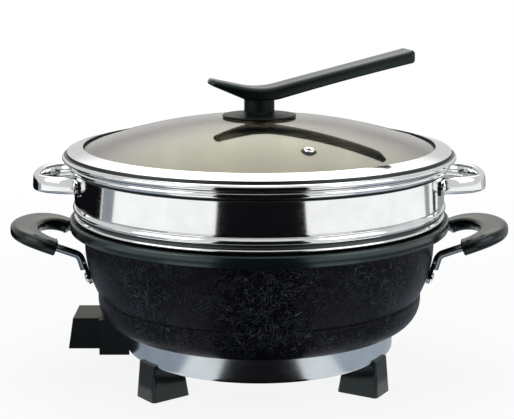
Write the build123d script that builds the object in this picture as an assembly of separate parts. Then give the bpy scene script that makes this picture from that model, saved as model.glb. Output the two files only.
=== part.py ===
from build123d import *
from math import asin, atan2, cos, degrees, radians, sin, sqrt, tan
import os

# Electric pan with a steamer tier and a glass lid. Millimetres, Z up, floor at Z = 0,
# the pan's axis on Z. The mains inlet is on the -X side, the handles on -X and +X.

# Fits between pieces
fit_gap = 0.15            # radial play of screws, rivets and pins in their holes
seat_gap = 0.10           # play between a curved seat and what lies on it
dome_gap = 0.30           # play between pieces that follow the glass dome
spigot_gap = 0.50         # play between the steamer's spigot and the pan's mouth

# Base ring, feet and bottom cover
foot_height = 27.0
foot_angle = 34.0         # feet from the axis that they lie evenly about, in degrees
foot_turn = 3.7           # that axis from the handle axis, in degrees
foot_top_width = 22.0
foot_bottom_width = 26.0
foot_top_depth = 27.0
foot_flare = 4.5          # how far the foot's sole stands out past the ring
foot_edge = 2.5
foot_lip_height = 3.0
foot_lip_depth = 2.0
ring_inset = 23.0         # the bowl's lower wall to the ring's outside
ring_height = 21.0
ring_sheet = 1.5
ring_flange_width = 38.0
ring_edge_radius = 3.0
cover_overlap = 6.0
cover_sheet = 1.2

# Pan
bowl_wall = 2.5
bowl_height = 91.0        # underside of the pan to the top of its rim
bowl_taper = 10.0         # how far the wall draws in from the neck to below the crease
bowl_crease_height = 25.5
bowl_crease_step = 1.0
bowl_corner_radius = 22.0
bowl_neck_drop = 22.0     # rim top to where the wall starts to draw in
rim_d = 315.0             # the tier, the lid, the base and the handles follow it
rim_width = 12.0          # neck to the rim's outside
rim_band_height = 9.0
rim_sheet = 2.5
rim_bulge = 1.2

# Side handles of the pan
rod_d = 6.5
rod_inset = 10.5          # outside of a grip to the middle of a rod, at the leg's end
rod_slope = 22.0
rod_bend_radius = 8.0
rod_socket_depth = 11.0
tab_drop = 46.0           # rim top to the rivet in a rod's flattened end
tab_width = 12.0
tab_thickness = 3.0
tab_length = 23.0
rivet_d = 4.4
rivet_head_d = 8.5
rivet_head_height = 2.0
leg_end_gap = 8.0         # rim's outside to the cut end of a grip's leg, along X
leg_end_drop = 20.2       # rim top to the middle of that end
grip_reach = 42.5
grip_half_width = 50.0
grip_outer_bow = 36.5     # depth of the grip's outer curve
grip_gap_bow = 18.5       # depth of the curve inside its gap
grip_thickness = 12.0
grip_leg_width = 17.5
grip_bar_width = 23.0
grip_edge_radius = 2.8
grip_rise = 8.8           # the crossbar's tip over the leg's end

# Steamer tier
steamer_inset = 4.5       # outside of the pan's rim to the tier's wall
steamer_height = 48.0     # rim of the pan to the top lip
steamer_sheet = 1.2
steamer_lip_height = 4.5
steamer_groove = 0.6
steamer_bead_height = 12.0
steamer_bead_bulge = 1.7
spigot_depth = 13.0
floor_ledge = 8.0
floor_sheet = 1.0
floor_hole_d = 8.0
floor_hole_pitch = 21.0
loop_stand = 34.5         # tier's wall to the outside of a loop handle
loop_half_width = 45.0
loop_band = 8.0
loop_band_height = 13.5
loop_corner_radius = 27.0
loop_edge_radius = 2.4
loop_drop = 17.5          # top lip to the middle of the loop
loop_tab_length = 15.0    # from the middle of a leg
loop_rivet_offset = 9.0   # from the middle of a leg
loop_tab_sheet = 1.6

# Lid
lid_overhang = 4.5        # tier's lip to the lid's outside
lid_sheet = 1.0
lid_band_width = 17.0     # lid's outside to the inner edge of the flat band
lid_band_height = 7.2     # seat to the outer end of the flat band
lid_roll_height = 6.4
lid_roll_inset = 3.0
lid_flange_width = 11.0
glass_thickness = 4.0
glass_inset = 9.0         # lid's outside to the edge of the glass
glass_hole_d = 12.0
dome_radius = 435.0
gasket_thickness = 1.0
gasket_width = 3.4
vent_inset = 36.0         # inner edge of the flat band to the vent
vent_angle = -70.0
vent_hole_d = 4.0
vent_flange_d = 10.0
grommet_wall = 1.0

# Lever on the lid
lever_yaw = 12.0
lever_flange_d = 60.0
lever_flange_edge = 1.8
lever_flange_rise = 2.8
lever_stem_d = 25.0
lever_stem_height = 13.97  # top of the glass to the lever's seat
lever_seal_thickness = 1.0
lever_seal_d = 34.0
lever_root = 8.4          # thickness of the lever over its stem
lever_short_reach = 42.5
lever_short_rise = 9.6
lever_short_width = 19.0
lever_short_tip = 5.0
lever_long_reach = 130.0
lever_long_rise = 30.8
lever_long_width = 31.0
lever_long_tip = 10.5
lever_valley_width = 26.0
lever_valley_radius = 60.0
lever_corner_radius = 8.0
lever_edge_radius = 1.6
lever_screw_d = 6.0
lever_screw_bite = 6.0
lever_screw_head_d = 11.0
lever_screw_head_height = 3.0
lever_washer_d = 26.0
lever_washer_thickness = 1.6

# Heating and wiring under the pan
element_d = 8.0
element_inset = 40.5      # base ring's outside to the middle of the element
element_bend_radius = 12.0
element_leg_offset = 10.0
element_leg_inset = 12.5  # ring's outside to the end of an element leg
clamp_sheet = 1.2
clamp_overhang = 8.0
stud_d = 6.0
nut_d = 11.0
nut_height = 4.0
sleeve_reach = 14.0
sleeve_wall = 1.0
terminal_d = 7.0
terminal_length = 6.0
fuse_d = 7.0
fuse_length = 8.0
clip_sheet = 1.0
clip_width = 6.0
lead_d = 3.0
live_lead_length = 3.0    # inlet pin to the fuse
strap_width = 6.0
strap_sheet = 1.0

# Mains inlet
box_stand = 20.5          # how far the box's face stands out from the ring
box_half_width = 32.0
box_margin = 1.75         # the box past the shroud, above and below
box_wall = 3.0
box_cavity_half_width = 17.0
shroud_depth = 27.0
shroud_half_width = 21.0
shroud_wall = 4.5
shroud_end_slant = 9.0
shroud_edge = 1.2
pin_d = 5.0
pin_length = 17.0
pin_clear = 2.25          # pins to the shroud's roof and floor
earth_pin_drop = 8.0      # main pins to the earth pin
screw_d = 4.0
screw_head_d = 7.0
screw_head_height = 2.4
screw_bite = 9.0
shroud_screw_spread = 12.0

# Radii and levels that follow from the sizes
rim_radius = rim_d / 2
neck_radius = rim_radius - rim_width
low_radius = neck_radius - bowl_taper
ring_radius = low_radius - ring_inset
ring_bottom = foot_height
bowl_bottom = ring_bottom + ring_height
rim_top = bowl_bottom + bowl_height
lid_seat = rim_top + steamer_height


def turned(*lines):
    """Turns a closed outline of (radius, height) lines about the pan's axis."""
    edges = [edge for line in lines for edge in line.edges()]
    return revolve(Plane.XZ * make_face(edges), Axis.Z)


def disc(radius, bottom, height, hole_radius=0.0):
    """A flat round plate on the pan's axis, with an optional hole."""
    plate = Pos(0, 0, bottom) * Cylinder(radius, height, align=(Align.CENTER, Align.CENTER, Align.MIN))
    if hole_radius:
        plate -= Pos(0, 0, bottom) * Cylinder(hole_radius, height, align=(Align.CENTER, Align.CENTER, Align.MIN))
    return plate


def block(x_range, y_range, z_range):
    """A box between two limits on each axis."""
    size = [high - low for low, high in (x_range, y_range, z_range)]
    middle = [(low + high) / 2 for low, high in (x_range, y_range, z_range)]
    return Pos(*middle) * Box(*size)


def rod_along_x(start, end, diameter, y, z):
    """A round bar from start to end along X."""
    return Pos(start, y, z) * Rot(0, 90, 0) * Cylinder(
        diameter / 2, end - start, align=(Align.CENTER, Align.CENTER, Align.MIN))


def turn(shape, angle):
    """The shape turned about the pan's axis."""
    return Rot(0, 0, angle) * shape


def save(name, shape):
    """Writes one node."""
    shape.label = name
    export_step(shape, f"parts/{name}.step")


def save_group(name, shapes):
    """Writes one node made of separate like pieces."""
    save(name, Compound(children=[solid for shape in shapes for solid in shape.solids()]))


# Pan: the wall draws in along one arc from the neck to the crease, then turns under
mouth_radius = neck_radius - bowl_wall
neck_level = rim_top - bowl_neck_drop
crease_level = bowl_bottom + bowl_crease_height
draw_in = neck_radius - (low_radius - bowl_crease_step)
draw_drop = neck_level - (crease_level + bowl_crease_step)
wall_arc = (draw_in ** 2 + draw_drop ** 2) / (2 * draw_in)
wall_arc_centre = neck_radius - wall_arc
wall_arc_end = asin(draw_drop / wall_arc)


def wall_point(angle, depth=0.0):
    """Point of the drawn-in wall at an angle below the neck, that deep under its outer face."""
    radius = wall_arc - depth
    return (wall_arc_centre + radius * cos(angle), neck_level - radius * sin(angle))


def pan_bowl():
    inner_low = wall_point(wall_arc_end, bowl_wall)
    outer_corner = low_radius - bowl_corner_radius
    inner_corner_radius = bowl_corner_radius - bowl_wall
    inner_corner = inner_low[0] - inner_corner_radius
    band_bottom = rim_top - rim_band_height
    half = sqrt(0.5)
    outside = [
        Polyline((0, bowl_bottom), (outer_corner, bowl_bottom)),
        ThreePointArc(
            (outer_corner, bowl_bottom),
            (outer_corner + bowl_corner_radius * half, bowl_bottom + bowl_corner_radius * (1 - half)),
            (low_radius, bowl_bottom + bowl_corner_radius)),
        Polyline((low_radius, bowl_bottom + bowl_corner_radius), (low_radius, crease_level),
                 wall_point(wall_arc_end)),
        ThreePointArc(wall_point(wall_arc_end), wall_point(wall_arc_end / 2), wall_point(0)),
        Polyline(wall_point(0), (neck_radius, rim_top - rim_sheet),
                 (rim_radius - rim_bulge - rim_sheet, rim_top - rim_sheet),
                 (rim_radius - rim_bulge - rim_sheet, band_bottom), (rim_radius - rim_bulge, band_bottom)),
        ThreePointArc(
            (rim_radius - rim_bulge, band_bottom),
            (rim_radius, rim_top - rim_band_height / 2),
            (rim_radius - rim_bulge, rim_top)),
    ]
    inside = [
        Polyline((rim_radius - rim_bulge, rim_top), (mouth_radius, rim_top), wall_point(0, bowl_wall)),
        ThreePointArc(
            wall_point(0, bowl_wall), wall_point(wall_arc_end / 2, bowl_wall), inner_low),
        Polyline(inner_low, (inner_low[0], bowl_bottom + bowl_corner_radius)),
        ThreePointArc(
            (inner_low[0], bowl_bottom + bowl_corner_radius),
            (inner_corner + inner_corner_radius * half,
             bowl_bottom + bowl_corner_radius - inner_corner_radius * half),
            (inner_corner, bowl_bottom + bowl_wall)),
        Polyline((inner_corner, bowl_bottom + bowl_wall), (0, bowl_bottom + bowl_wall), (0, bowl_bottom)),
    ]
    bowl = turned(*outside, *inside)
    for angle in rod_angles:
        bowl -= turn(rivet_hole(), angle)
    return bowl


# Side handles: each rod lies in a plane through the pan's axis, and its flattened end on the wall
leg_end_reach = rim_radius + leg_end_gap
rod_angle = degrees(atan2(grip_half_width - rod_inset, leg_end_reach))
rod_angles = [side + offset for side in (0, 180) for offset in (-rod_angle, rod_angle)]
tab_turn = asin((neck_level - (rim_top - tab_drop)) / wall_arc)
tab_seat = wall_point(tab_turn, -seat_gap)
tab_plane = Plane(
    origin=(tab_seat[0], 0, tab_seat[1]),
    x_dir=(0, 1, 0),
    z_dir=(cos(tab_turn), 0, -sin(tab_turn)))
tab_shift = (tab_length - tab_width) / 2
leg_end_radius = leg_end_reach / cos(radians(rod_angle))
leg_end_level = rim_top - leg_end_drop
leg_end_plane = Plane(
    origin=(leg_end_radius, 0, leg_end_level),
    z_dir=(cos(radians(rod_slope)), 0, sin(radians(rod_slope))))


def tab_point(up, out):
    """Point (radius, height) that far up the tab and out from the wall."""
    return (tab_seat[0] + up * sin(tab_turn) + out * cos(tab_turn),
            tab_seat[1] + up * cos(tab_turn) - out * sin(tab_turn))


def handle_rod():
    slope = (cos(radians(rod_slope)), sin(radians(rod_slope)))
    inner_end = (leg_end_radius + rod_socket_depth * slope[0], leg_end_level + rod_socket_depth * slope[1])
    foot = tab_point((rivet_head_d + rod_d) / 2, rod_d / 2)
    # where the rod's line meets the line up the wall
    along = (sin(tab_turn), cos(tab_turn))
    cross = slope[0] * along[1] - slope[1] * along[0]
    reach = ((leg_end_radius - foot[0]) * along[1] - (leg_end_level - foot[1]) * along[0]) / cross
    corner = (leg_end_radius - reach * slope[0], leg_end_level - reach * slope[1])
    path = FilletPolyline(
        *[(radius, 0, height) for radius, height in (inner_end, corner, foot)], radius=rod_bend_radius)
    start = Plane(origin=(inner_end[0], 0, inner_end[1]), z_dir=(-slope[0], 0, -slope[1]))
    rod = sweep(start * Circle(rod_d / 2), path)
    tab = extrude(tab_plane * Pos(0, tab_shift) * SlotOverall(tab_length, tab_width, rotation=90), tab_thickness)
    return rod + tab - rivet_hole()


def rivet_hole():
    depth = bowl_wall + seat_gap
    return tab_plane * Pos(0, 0, -2 * depth) * Cylinder(
        rivet_d / 2 + fit_gap, 4 * depth + tab_thickness, align=(Align.CENTER, Align.CENTER, Align.MIN))


def dome_rivet(shank_d, head_d, head_height, stack):
    """Rivet through a stack of that thickness, its round head on the +Z side of the stack's far face."""
    crown = head_height / 2
    profile = make_face([
        *Polyline((0, -head_height / 2), (head_d / 2, -head_height / 2), (head_d / 2, 0),
                  (shank_d / 2, 0), (shank_d / 2, stack), (head_d / 2, stack),
                  (head_d / 2, stack + crown)).edges(),
        *RadiusArc((head_d / 2, stack + crown), (0, stack + head_height),
                   -((head_d / 2) ** 2 + crown ** 2) / (2 * crown)).edges(),
        *Line((0, stack + head_height), (0, -head_height / 2)).edges(),
    ])
    return revolve(Plane.XZ * profile, Axis.Z)


def handle_rivet():
    stack = bowl_wall + 2 * seat_gap + tab_thickness
    return tab_plane * Pos(0, 0, tab_thickness - stack) * dome_rivet(
        rivet_d, rivet_head_d, rivet_head_height, stack)


def handle_grip():
    """The +X grip: a horseshoe seen from above, arched seen from the side."""
    gap_half_width = grip_half_width - grip_leg_width
    outline = Pos(grip_reach - grip_outer_bow, 0) * Ellipse(grip_outer_bow, grip_half_width)
    outline -= Pos(grip_reach - grip_bar_width - grip_gap_bow, 0) * Ellipse(grip_gap_bow, gap_half_width)
    plan = extrude(outline, 2 * grip_reach, both=True)
    # the arch leaves the leg's end along the rod and reaches the tip at the rise
    chord_angle = atan2(grip_rise, grip_reach)
    chord = sqrt(grip_reach ** 2 + grip_rise ** 2)
    arch_radius = chord / (2 * sin(radians(rod_slope) - chord_angle))
    arch_centre = Pos(arch_radius * sin(radians(rod_slope)), -arch_radius * cos(radians(rod_slope)))
    arch = Circle(arch_radius + grip_thickness / 2) - Circle(arch_radius - grip_thickness / 2)
    grip = plan & extrude(Plane.XZ * arch_centre * arch, 2 * grip_half_width, both=True)
    rims = [edge for face in grip.faces().filter_by(GeomType.CYLINDER) for edge in face.edges()]
    grip = Pos(leg_end_reach, 0, leg_end_level) * fillet(rims, grip_edge_radius)
    for side in (-1, 1):
        grip -= turn(leg_end_plane * Pos(0, 0, -grip_reach) * Box(
            4 * grip_reach, 2 * grip_half_width, 2 * grip_reach), side * rod_angle)
        grip -= turn(rod_socket(), side * rod_angle)
    return grip


def rod_socket():
    length = 2 * (rod_socket_depth + fit_gap)
    return leg_end_plane * Cylinder(rod_d / 2 + fit_gap, length)


# Base
def base_ring():
    inside = ring_radius - ring_sheet
    flange_inside = ring_radius - ring_flange_width
    turn_in = ring_radius - ring_edge_radius
    half = sqrt(0.5)
    ring = turned(
        Polyline((flange_inside, ring_bottom), (turn_in, ring_bottom)),
        ThreePointArc(
            (turn_in, ring_bottom),
            (turn_in + ring_edge_radius * half, ring_bottom + ring_edge_radius * (1 - half)),
            (ring_radius, ring_bottom + ring_edge_radius)),
        Polyline((ring_radius, ring_bottom + ring_edge_radius), (ring_radius, bowl_bottom),
                 (inside, bowl_bottom), (inside, ring_bottom + ring_edge_radius)),
        ThreePointArc(
            (inside, ring_bottom + ring_edge_radius),
            (turn_in + (ring_edge_radius - ring_sheet) * half,
             ring_bottom + ring_edge_radius - (ring_edge_radius - ring_sheet) * half),
            (turn_in, ring_bottom + ring_sheet)),
        Polyline((turn_in, ring_bottom + ring_sheet), (flange_inside, ring_bottom + ring_sheet),
                 (flange_inside, ring_bottom)),
    )
    window_bottom = ring_bottom + ring_edge_radius
    ring -= block((-2 * ring_radius, -turn_in / 2), (-box_cavity_half_width, box_cavity_half_width),
                  (window_bottom, bowl_bottom))
    for angle in foot_angles:
        ring -= turn(foot_screw_hole(), angle)
    for side in (-1, 1):
        ring -= box_screw_hole(side)
    return ring


# Feet: outer face flush with the ring at the top, flaring to the sole
foot_angles = [foot_turn + angle for angle in
               (foot_angle, 180 - foot_angle, 180 + foot_angle, 360 - foot_angle)]
foot_screw_radius = ring_radius - foot_top_depth / 2


def foot():
    top_middle = ring_radius - foot_top_depth / 2
    top = Plane.XY.offset(ring_bottom) * Pos(top_middle, 0) * Rectangle(foot_top_depth, foot_top_width)
    sole = Plane.XY * Pos(top_middle, 0) * Rectangle(foot_top_depth + 2 * foot_flare, foot_bottom_width)
    body = loft([sole, top], ruled=True)
    uprights = body.edges().filter_by(lambda edge: edge.bounding_box().size.Z > foot_height / 2)
    body = chamfer(uprights, foot_edge)
    lip_inside = ring_radius + seat_gap
    lip_outside = lip_inside + foot_lip_depth
    lip = disc(lip_outside, ring_bottom, foot_lip_height, lip_inside)
    lip += disc(lip_outside, ring_bottom - foot_lip_height, foot_lip_height, top_middle)
    lip &= block((0, 2 * ring_radius), (-foot_top_width / 2, foot_top_width / 2), (0, rim_top))
    return body + lip - foot_screw_hole()


def foot_screw_hole():
    return Pos(foot_screw_radius, 0, ring_bottom - screw_bite) * Cylinder(
        screw_d / 2 + fit_gap, 2 * screw_bite, align=(Align.CENTER, Align.CENTER, Align.MIN))


def screw(bite):
    """Pan head screw, head above Z = 0 and shank below it."""
    shank = Cylinder(screw_d / 2, bite, align=(Align.CENTER, Align.CENTER, Align.MAX))
    head = Cylinder(screw_head_d / 2, screw_head_height, align=(Align.CENTER, Align.CENTER, Align.MIN))
    return shank + head


def foot_screw():
    return Pos(foot_screw_radius, 0, ring_bottom + ring_sheet) * screw(
        screw_bite + ring_sheet - fit_gap)


# Heating: the element lies against the pan's underside, a clamp plate holds it up
element_level = bowl_bottom - element_d / 2
element_bottom = bowl_bottom - element_d
clamp_bottom = element_bottom - clamp_sheet
cover_bottom = ring_bottom - cover_sheet
cover_radius = ring_radius - ring_flange_width + cover_overlap
stud_bottom = cover_bottom - nut_height
element_leg_reach = ring_radius - element_leg_inset
element_ring_radius = ring_radius - element_inset


def heating_element():
    bend_y = element_leg_offset + element_bend_radius
    outer_radius = element_ring_radius + element_bend_radius
    bend_x = -sqrt(outer_radius ** 2 - bend_y ** 2)
    share = element_ring_radius / outer_radius
    joint = (bend_x * share, bend_y * share)
    # point of the bend that faces the ring and the leg alike
    to_ring = ((joint[0] - bend_x) / element_bend_radius, (joint[1] - bend_y) / element_bend_radius)
    aim = (to_ring[0], to_ring[1] - 1)
    aim_length = sqrt(aim[0] ** 2 + aim[1] ** 2)
    middle = (bend_x + element_bend_radius * aim[0] / aim_length,
              bend_y + element_bend_radius * aim[1] / aim_length)
    path = Wire([
        Line((-element_leg_reach, element_leg_offset), (bend_x, element_leg_offset)),
        ThreePointArc((bend_x, element_leg_offset), middle, joint),
        ThreePointArc(joint, (element_ring_radius, 0), (joint[0], -joint[1])),
        ThreePointArc((joint[0], -joint[1]), (middle[0], -middle[1]), (bend_x, -element_leg_offset)),
        Line((bend_x, -element_leg_offset), (-element_leg_reach, -element_leg_offset)),
    ])
    path = Pos(0, 0, element_level) * path
    start = Plane(origin=(-element_leg_reach, element_leg_offset, element_level), z_dir=(1, 0, 0))
    return sweep(start * Circle(element_d / 2), path)


def element_clamp():
    return disc(element_ring_radius + clamp_overhang, clamp_bottom, clamp_sheet, stud_d / 2 + fit_gap)


def centre_stud():
    return disc(stud_d / 2, stud_bottom, bowl_bottom - stud_bottom)


def hex_nut(bottom):
    nut = Pos(0, 0, bottom) * extrude(RegularPolygon(nut_d / 2, 6), nut_height)
    return nut - disc(stud_d / 2 + fit_gap, bottom, nut_height)


def base_cover():
    return disc(cover_radius, cover_bottom, cover_sheet, stud_d / 2 + fit_gap)


# Inlet: box beside the ring, shroud on the box, pins through both
pin_level = element_level
earth_level = pin_level - earth_pin_drop
shroud_top = pin_level + pin_d / 2 + pin_clear + shroud_wall
shroud_bottom = earth_level - pin_d / 2 - pin_clear - shroud_wall
shroud_height = shroud_top - shroud_bottom
box_bottom = shroud_bottom - box_margin
box_top = shroud_top + box_margin
box_reach = ring_radius + box_stand
shroud_reach = box_reach + shroud_depth
box_cavity_bottom = earth_level - strap_width / 2 - box_wall
box_cavity_top = bowl_bottom + seat_gap
pin_inner_end = -box_reach + 2 * box_wall
box_screw_y = (box_cavity_half_width + box_half_width) / 2
box_screw_level = (ring_bottom + bowl_bottom) / 2
ring_inside = ring_radius - ring_sheet


def pin_holes():
    """Holes for the pins and the probe through the shroud's back and the box's face."""
    holes = []
    for y in (-element_leg_offset, element_leg_offset):
        holes.append(rod_along_x(-shroud_reach, pin_inner_end, pin_d + 2 * fit_gap, y, pin_level))
    holes.append(rod_along_x(-shroud_reach, pin_inner_end, pin_d + 2 * fit_gap, 0, earth_level))
    holes.append(rod_along_x(-shroud_reach, pin_inner_end, element_d + 2 * fit_gap, 0, pin_level))
    return holes


def inlet_box():
    box = block((-box_reach, -ring_radius / 2), (-box_half_width, box_half_width), (box_bottom, box_top))
    box -= disc(ring_radius + seat_gap, 0, rim_top)
    clear_corner = low_radius - bowl_corner_radius
    clear_radius = bowl_corner_radius + seat_gap
    half = sqrt(0.5)
    corner_level = bowl_bottom + bowl_corner_radius
    box -= turned(
        Polyline((0, bowl_bottom - seat_gap), (clear_corner, bowl_bottom - seat_gap)),
        ThreePointArc(
            (clear_corner, bowl_bottom - seat_gap),
            (clear_corner + clear_radius * half, corner_level - clear_radius * half),
            (clear_corner + clear_radius, corner_level)),
        Polyline((clear_corner + clear_radius, corner_level), (0, corner_level),
                 (0, bowl_bottom - seat_gap)),
    )
    box -= block((-box_reach + box_wall, 0), (-box_cavity_half_width, box_cavity_half_width),
                 (box_cavity_bottom, box_cavity_top))
    for hole in pin_holes():
        box -= hole
    for side in (-1, 1):
        box -= box_screw_hole(side)
        box -= shroud_screw_hole(side)
    return box


def inlet_shroud():
    shroud = block((-shroud_reach, -box_reach), (-shroud_half_width, shroud_half_width),
                   (shroud_bottom, shroud_top))
    shroud = fillet(shroud.edges().filter_by(Axis.X), shroud_edge)
    slant = tan(radians(shroud_end_slant)) * shroud_height
    wedge = make_face(Polyline(
        (-shroud_reach, shroud_bottom), (-shroud_reach + slant, shroud_top),
        (-shroud_reach - slant, shroud_top), (-shroud_reach - slant, shroud_bottom),
        (-shroud_reach, shroud_bottom)).edges())
    shroud -= extrude(Plane.XZ * wedge, 2 * shroud_half_width, both=True)
    recess_half = shroud_half_width - shroud_wall
    shroud -= block((-2 * shroud_reach, -box_reach - shroud_wall), (-recess_half, recess_half),
                    (shroud_bottom + shroud_wall, shroud_top - shroud_wall))
    for hole in pin_holes():
        shroud -= hole
    for side in (-1, 1):
        shroud -= shroud_screw_hole(side)
    return shroud


def inlet_pin(y):
    return rod_along_x(-box_reach - shroud_wall - pin_length, pin_inner_end, pin_d, y, pin_level)


def earth_pin():
    return rod_along_x(-box_reach - shroud_wall - pin_length, pin_inner_end, pin_d, 0, earth_level)


def probe_sleeve():
    outer = rod_along_x(-box_reach - shroud_wall, -sleeve_reach, element_d, 0, element_level)
    bore = rod_along_x(-box_reach - shroud_wall, -sleeve_reach - sleeve_wall, element_d - 2 * sleeve_wall,
                       0, element_level)
    return outer - bore


def box_screw_hole(side):
    return rod_along_x(-box_reach + box_wall, -ring_radius / 2, screw_d + 2 * fit_gap,
                       side * box_screw_y, box_screw_level) & block(
        (-ring_radius - screw_bite, 0), (-box_half_width, box_half_width), (0, rim_top))


def box_screw(side):
    # the head bears on the ring's inside where the ring is nearest to the axis
    edge_y = abs(box_screw_y) + screw_head_d / 2
    seat = -sqrt(ring_inside ** 2 - edge_y ** 2)
    bite = ring_radius + screw_bite + seat - fit_gap
    return Pos(seat, side * box_screw_y, box_screw_level) * Rot(0, 90, 0) * screw(bite)


def shroud_screw_hole(side):
    return rod_along_x(-box_reach - shroud_wall + fit_gap, -box_reach + 2 * box_wall, screw_d + 2 * fit_gap,
                       side * shroud_screw_spread, earth_level)


def shroud_screw(side):
    bite = box_wall + shroud_wall - 3 * fit_gap
    return Pos(-box_reach + box_wall, side * shroud_screw_spread, earth_level) * Rot(0, 90, 0) * screw(bite)


# Wiring: the live side runs through the fuse, the neutral side straight to its terminal
terminal_outer = -element_leg_reach - terminal_length
fuse_outer = pin_inner_end + live_lead_length
fuse_inner = fuse_outer + fuse_length


def element_terminal(y):
    return rod_along_x(terminal_outer, -element_leg_reach, terminal_d, y, element_level)


def thermal_fuse():
    return rod_along_x(fuse_outer, fuse_inner, fuse_d, element_leg_offset, element_level)


def fuse_clip():
    """Saddle that holds the fuse down on the floor of the box."""
    y = element_leg_offset
    middle = (fuse_outer + fuse_inner) / 2
    span = (middle - clip_width / 2, middle + clip_width / 2)
    post = block(span, (y - fuse_d / 2 - clip_sheet, y + fuse_d / 2 + clip_sheet),
                 (box_cavity_bottom, element_level))
    bore = rod_along_x(span[0], span[1], fuse_d + 2 * fit_gap, y, element_level)
    return post - bore


def earth_strap():
    foot_level = ring_bottom + ring_sheet
    step_x = -ring_inside + ring_edge_radius
    path = [
        (pin_inner_end, earth_level - strap_sheet / 2),
        (pin_inner_end, earth_level + strap_sheet / 2),
        (step_x + strap_sheet, earth_level + strap_sheet / 2),
        (step_x + strap_sheet, foot_level + strap_sheet),
        (step_x + 2 * strap_width, foot_level + strap_sheet),
        (step_x + 2 * strap_width, foot_level),
        (step_x, foot_level),
        (step_x, earth_level - strap_sheet / 2),
        (pin_inner_end, earth_level - strap_sheet / 2),
    ]
    return extrude(Plane.XZ * make_face(Polyline(*path).edges()), strap_width / 2, both=True)


# Steamer tier
steamer_radius = rim_radius - steamer_inset
steamer_inside = steamer_radius - steamer_sheet
spigot_radius = mouth_radius - spigot_gap
spigot_bottom = rim_top - spigot_depth
lip_radius = rim_radius
lip_bottom = lid_seat - steamer_lip_height
bead_top = rim_top + steamer_bead_height
floor_level = spigot_bottom + steamer_sheet
loop_level = lid_seat - loop_drop
loop_reach = steamer_radius + loop_stand
loop_leg_y = loop_half_width - loop_band / 2
loop_turn = degrees(asin(loop_leg_y / steamer_radius))
loop_tab_end = loop_turn + degrees(loop_tab_length / steamer_radius)
loop_rivet_turn = loop_turn + degrees(loop_rivet_offset / steamer_radius)
loop_rivet_angles = [side + turn_to for side in (0, 180) for turn_to in (-loop_rivet_turn, loop_rivet_turn)]


def steamer_wall():
    bead_radius = steamer_radius + steamer_bead_bulge
    wall = turned(
        Polyline((steamer_inside, lid_seat), (lip_radius - steamer_lip_height / 2, lid_seat)),
        ThreePointArc(
            (lip_radius - steamer_lip_height / 2, lid_seat),
            (lip_radius, lid_seat - steamer_lip_height / 2),
            (lip_radius - steamer_lip_height / 2, lip_bottom)),
        Polyline((lip_radius - steamer_lip_height / 2, lip_bottom),
                 (steamer_radius - steamer_groove, lip_bottom),
                 (steamer_radius, lip_bottom - steamer_groove),
                 (steamer_radius, bead_top + steamer_groove),
                 (steamer_radius - steamer_groove, bead_top)),
        ThreePointArc(
            (steamer_radius - steamer_groove, bead_top),
            (bead_radius, rim_top + steamer_bead_height / 2),
            (steamer_radius - 2 * steamer_sheet, rim_top)),
        Polyline((steamer_radius - 2 * steamer_sheet, rim_top),
                 (spigot_radius, rim_top), (spigot_radius, spigot_bottom),
                 (spigot_radius - floor_ledge, spigot_bottom),
                 (spigot_radius - floor_ledge, spigot_bottom + steamer_sheet),
                 (spigot_radius - steamer_sheet, spigot_bottom + steamer_sheet),
                 (spigot_radius - steamer_sheet, rim_top + steamer_sheet),
                 (steamer_inside, rim_top + steamer_sheet), (steamer_inside, lid_seat)),
    )
    for angle in loop_rivet_angles:
        wall -= turn(loop_rivet_hole(), angle)
    return wall


def steamer_floor():
    radius = spigot_radius - steamer_sheet - fit_gap
    plate = Circle(radius)
    rows = int((radius - floor_ledge - floor_hole_d) / floor_hole_pitch)
    for row in range(1, rows + 1):
        plate -= PolarLocations(row * floor_hole_pitch, 6 * row) * Circle(floor_hole_d / 2)
    plate -= Circle(floor_hole_d / 2)
    return Pos(0, 0, floor_level) * extrude(plate, floor_sheet)


def steamer_handle():
    """The +X loop: a flat band bent round, with a tab at each end against the wall."""
    outline = RectangleRounded(2 * loop_reach, 2 * loop_half_width, loop_corner_radius)
    outline -= RectangleRounded(
        2 * (loop_reach - loop_band), 2 * (loop_half_width - loop_band), loop_corner_radius - loop_band)
    band = extrude(outline, loop_band_height / 2, both=True)
    rims = [edge for face in band.faces().filter_by(Axis.Z) for edge in face.edges()]
    band = Pos(0, 0, loop_level) * fillet(rims, loop_edge_radius)
    tab_inside = steamer_radius + seat_gap
    tab_outside = tab_inside + loop_tab_sheet
    band -= disc(tab_inside, 0, 2 * lid_seat)
    band &= block((steamer_radius / 2, 2 * loop_reach), (-loop_reach, loop_reach), (0, 2 * lid_seat))
    for side in (-1, 1):
        corners = [(0, 0)]
        for angle in (radians(side * loop_turn), radians(side * loop_tab_end)):
            corners.append((2 * tab_outside * cos(angle), 2 * tab_outside * sin(angle)))
        tab = (Circle(tab_outside) - Circle(tab_inside)) & make_face(Polyline(*corners, close=True).edges())
        band += Pos(0, 0, loop_level) * extrude(tab, loop_band_height / 2, both=True)
        band -= turn(loop_rivet_hole(), side * loop_rivet_turn)
    return band


def loop_rivet_hole():
    return Pos(steamer_radius, 0, loop_level) * Rot(0, 90, 0) * Cylinder(
        rivet_d / 2 + fit_gap, 4 * (steamer_sheet + loop_tab_sheet))


def loop_rivet():
    stack = steamer_sheet + 2 * seat_gap + loop_tab_sheet
    return Pos(steamer_inside - seat_gap, 0, loop_level) * Rot(0, 90, 0) * dome_rivet(
        rivet_d, rivet_head_d, rivet_head_height, stack)


# Lid: all curved faces share the dome's centre
lid_radius = lip_radius + lid_overhang
band_inside = lid_radius - lid_band_width
glass_radius = lid_radius - glass_inset
vent_reach = band_inside - vent_inset
glass_inner_radius = dome_radius - glass_thickness
dome_centre = lid_seat + lid_sheet + gasket_thickness - sqrt(glass_inner_radius ** 2 - glass_radius ** 2)
glass_top = dome_centre + dome_radius


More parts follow.
